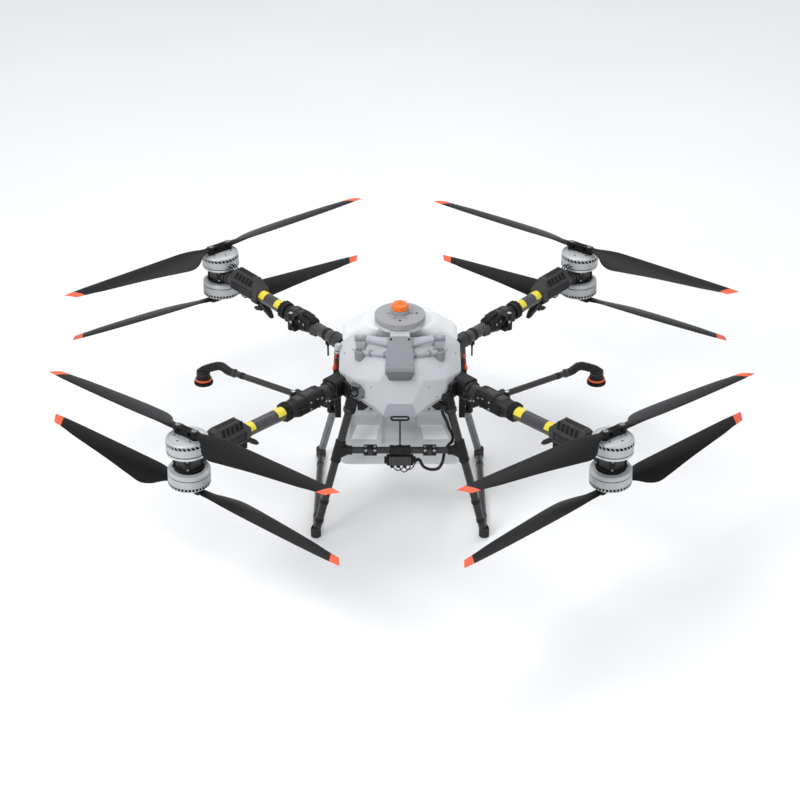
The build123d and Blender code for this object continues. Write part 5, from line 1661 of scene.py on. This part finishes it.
def hoses():
    """Spray hose from the module to the leg and up to its gland, with clips and a shrink sleeve."""
    piece = Piece("hose_skin")
    y, z = leg_point(1, True, CROSSBAR_Z).y, CROSSBAR_Z
    path = curve([(66, y, z - 48), (82, y, z - 48), (98, y - 2, z - 78), (128, y - 4, z - 92),
                  (160, y - 2, z - 88),
                  (178, y + 8, z - 64), (186, y + 26, z - 32), (200, y + 34, z), (219, y + 34, z + 26),
                  (218, y + 26, z + 62), (204, y + 16, z + 98), (194, y + 4, z + 136), (177, -293, 570),
                  (177, -293, 596)], 12)
    piece.tube(path, 6.5, HOSE, 24)
    for k in (4, len(path) - 5):
        matrix, _ = from_to(path[k], path[min(k + 1, len(path) - 1)])
        piece.lathe([(6.6, -9), (7.8, -8.4), (7.8, 8.4), (6.6, 9)], DEEP, matrix, 24)
    for k in (48, 108):
        matrix, _ = from_to(path[k], path[k + 1])
        piece.lathe([(6.5, -4), (7.7, -3.6), (7.7, 3.6), (6.5, 4)], ANODISED, matrix, 24)
    piece.done("airframe", "hoses", slot="hose", weighted=False)


# Spray lances


def lance(sx, side):
    """Woven lance tube with its knuckle, arched head and orange ring."""
    x, y, z = LANCE_ROOT
    root, end = Vector((sx * x, y, z)), Vector((sx * LANCE_END[0], LANCE_END[1], LANCE_END[2]))
    along = (end - root).normalized()
    tube = Piece(f"lance_tube_{side}")
    length = (end - root).length
    tube.tube([root + along * (50 + (length - 50) * k / 48) for k in range(49)], 14, CARBON_SATIN, 36)
    tube.done(f"lance_{side}", f"lance_{side}", slot="lance", weighted=False)
    piece = Piece(f"lance_head_{side}")
    eye = [(6.1, -13.4), (14, -13.4), (15, -12.4), (15, 12.4), (14, 13.4), (6.1, 13.4)]
    piece.lathe(eye, BLACK, move(*root), 40)
    knuckle, _ = from_to(root, end)
    piece.lathe([(9, 8), (13.2, 14), (13.4, 44), (16, 47), (16, 58), (14.6, 60), (14.1, 60)], BLACK,
                knuckle, 40)
    for at in (length * 0.34, length - 60):
        piece.lathe([(14.1, at), (15.6, at + 1), (15.6, at + 17), (14.1, at + 18)], BLACK, knuckle, 36)
        piece.bolt_on(knuckle, (0, -15.4, at + 9), (0, -1, 0), 2.8, 1.6)
    head = Vector((sx * SPRAYER[0], SPRAYER[1], MID - 262))
    middle = end + along * 62 + Vector((0, 0, 12))
    path = curve([end - along * 14, end + along * 20, middle, (middle + head) / 2 + Vector((0, 0, 5)), head,
                  head - Vector((0, 0, 16))], 10)
    piece.tube(path, [17.5 + 1.5 * ease(k / 20) for k in range(len(path))], BLACK, 36)
    matrix, _ = from_to(end - along * 16, end)
    piece.lathe([(14.2, 0), (18.4, 0), (19.6, 1.5), (19.6, 12), (18.2, 14), (17.4, 14)], CHARCOAL, matrix,
                40)
    for p, q in zip(path[12:36:6], path[13:37:6]):
        ring, _ = from_to(p, q)
        piece.lathe([(18.6, -1.6), (19.7, -1), (19.7, 1), (18.6, 1.6)], DEEP, ring, 36)
    down = move(sx * SPRAYER[0], SPRAYER[1], MID)
    piece.lathe([(0, -258), (22, -258), (28, -261), (30, -265), (30, -272), (28.6, -273.6, GROOVE_SHADE),
                 (28.6, -276, GROOVE_SHADE), (30, -277.6),
                 (30, -296), (33, -298.5), (33, -300.4), (5.2, -300.4)], BLACK, down, 56)
    for k in range(14):
        piece.box((29.2, 30.6), (-1.8, 1.8), (-295, -280), DEEP, 0.6, down @ rot("Z", 360 / 14 * k), 1)
    piece.lathe([(12, -300.2), (36.6, -300.2), (38, -301.6), (38, -307.4), (36.6, -308.8), (12, -308.8)],
                RUST, down, 64)
    for k in range(6):
        b = radians(60 * k)
        at = Vector((sx * SPRAYER[0] + 24 * cos(b), SPRAYER[1] + 24 * sin(b), MID - 259.6))
        piece.bolt(at, (0, 0, 1), 2.4, 1.3)
    piece.done(f"lance_{side}", slot="lance")
    disc = Piece(f"disc_{side}")

    def toothed(r, height, i):
        return r - 1.6 if r > 41 and i % 4 < 2 else r
    disc.lathe([(0, -330), (30, -330), (36, -328.6), (41.8, -326), (42.5, -324), (42.5, -316), (41, -313.6),
                (36, -313), (32, -314.6),
                (26, -314.6), (23, -313), (11, -313), (11, -309.6), (5, -309.4), (5, -287), (0, -287)],
               DEEP, down, 120, toothed)
    for k in range(12):
        disc.box((13, 34), (-0.9, 0.9), (-315, -312.6), BLACK, 0.4, down @ rot("Z", 30 * k), 1)
    disc.done(f"sprinkler_{side}", f"sprinkler_disc_{side}", slot="disc")


def sensors():
    """Aerials on their clips, the side lamp, and the forward camera on its plate."""
    piece = Piece("sensors_skin")
    for corner in ("rear_left", "rear_right"):
        foot = split_point(corner) - arm_unit(corner) * (REAR_SPLIT - AERIAL_AT)
        place = move(*foot)
        piece.box((-11, 11), (-11, 11), (-46, -22), BLACK, 2.5, place)
        piece.lathe([(0, -104), (3, -104), (4, -102.5), (4, -60), (5.2, -58), (6.4, -48), (6.4, -46)],
                    BLACK, place, 24)
        clip = arm_frame(corner) @ move(AERIAL_AT - REAR_SPLIT, 0, 0) @ rot("Y", 90)
        piece.lathe([(27.7, -9), (30, -8), (30, 8), (27.7, 9)], BLACK, clip, 40)
    lamp = move(-258, -80, MID)
    piece.lathe([(0, 108), (10, 107.4), (13.6, 105), (15, 101), (15, 82), (14, 81, GROOVE_SHADE),
                 (14, 79, GROOVE_SHADE), (15, 78), (15, 67),
                 (14, 66), (0, 66)], LAMP, lamp, 40)
    x, y, z = -187.0, -296.0, MID + 3
    outline = [(-14, 28), (24, 22), (42, 0), (40, -34), (10, -44), (-16, -24)]
    piece.prism([(x + a, z + b) for a, b in outline], -(y + 32), -y, PLATE, 2.2, rot("X", 90), 3)
    for a, b in ((-8, 20), (19, 15), (34, -28), (9, -37)):
        piece.bolt(Vector((x + a, y, z + b)), (0, -1, 0), 2.6, 1.4)
    barrel, _ = from_to((x, y, z), (x, y - 24, z))
    piece.lathe([(17, -1), (17, 4), (15.8, 5), (15.8, 9), (17, 10), (17, 22), (16, 24), (13.6, 24),
                 (12.8, 20, LENS), (8, 21.4, LENS),
                 (0, 22)], DEEP, barrel, 56)
    piece.done("airframe", "sensors", slot="sensor")


for corner in CORNERS:
    for level in ("upper", "lower"):
        rotor(corner, level)
        for letter in ("a", "b"):
            blade(corner, level, letter)
    motor_pod(corner)
    outer_arm(corner)
    lock_collar(corner)

housings, inner = Piece("fold_castings"), Piece("inner_tubes")
for corner in CORNERS:
    fold_housing(housings, corner)
    inner_tube(inner, corner)
housings.done("airframe", "fold_housings", slot="fold")
inner.done("airframe", "inner_arms", slot="inner_arm", weighted=False)

front_shell()
spine_cover()
handle_bars()
tank()
tank_lid()
lid_knob()
latch(-1, "latch_left")
latch(1, "latch_right")
battery()
frame_metal()
pumps()
legs()
feet()
tees()
crossbar()
manifold()
hoses()
lance(-1, "left")
lance(1, "right")
sensors()
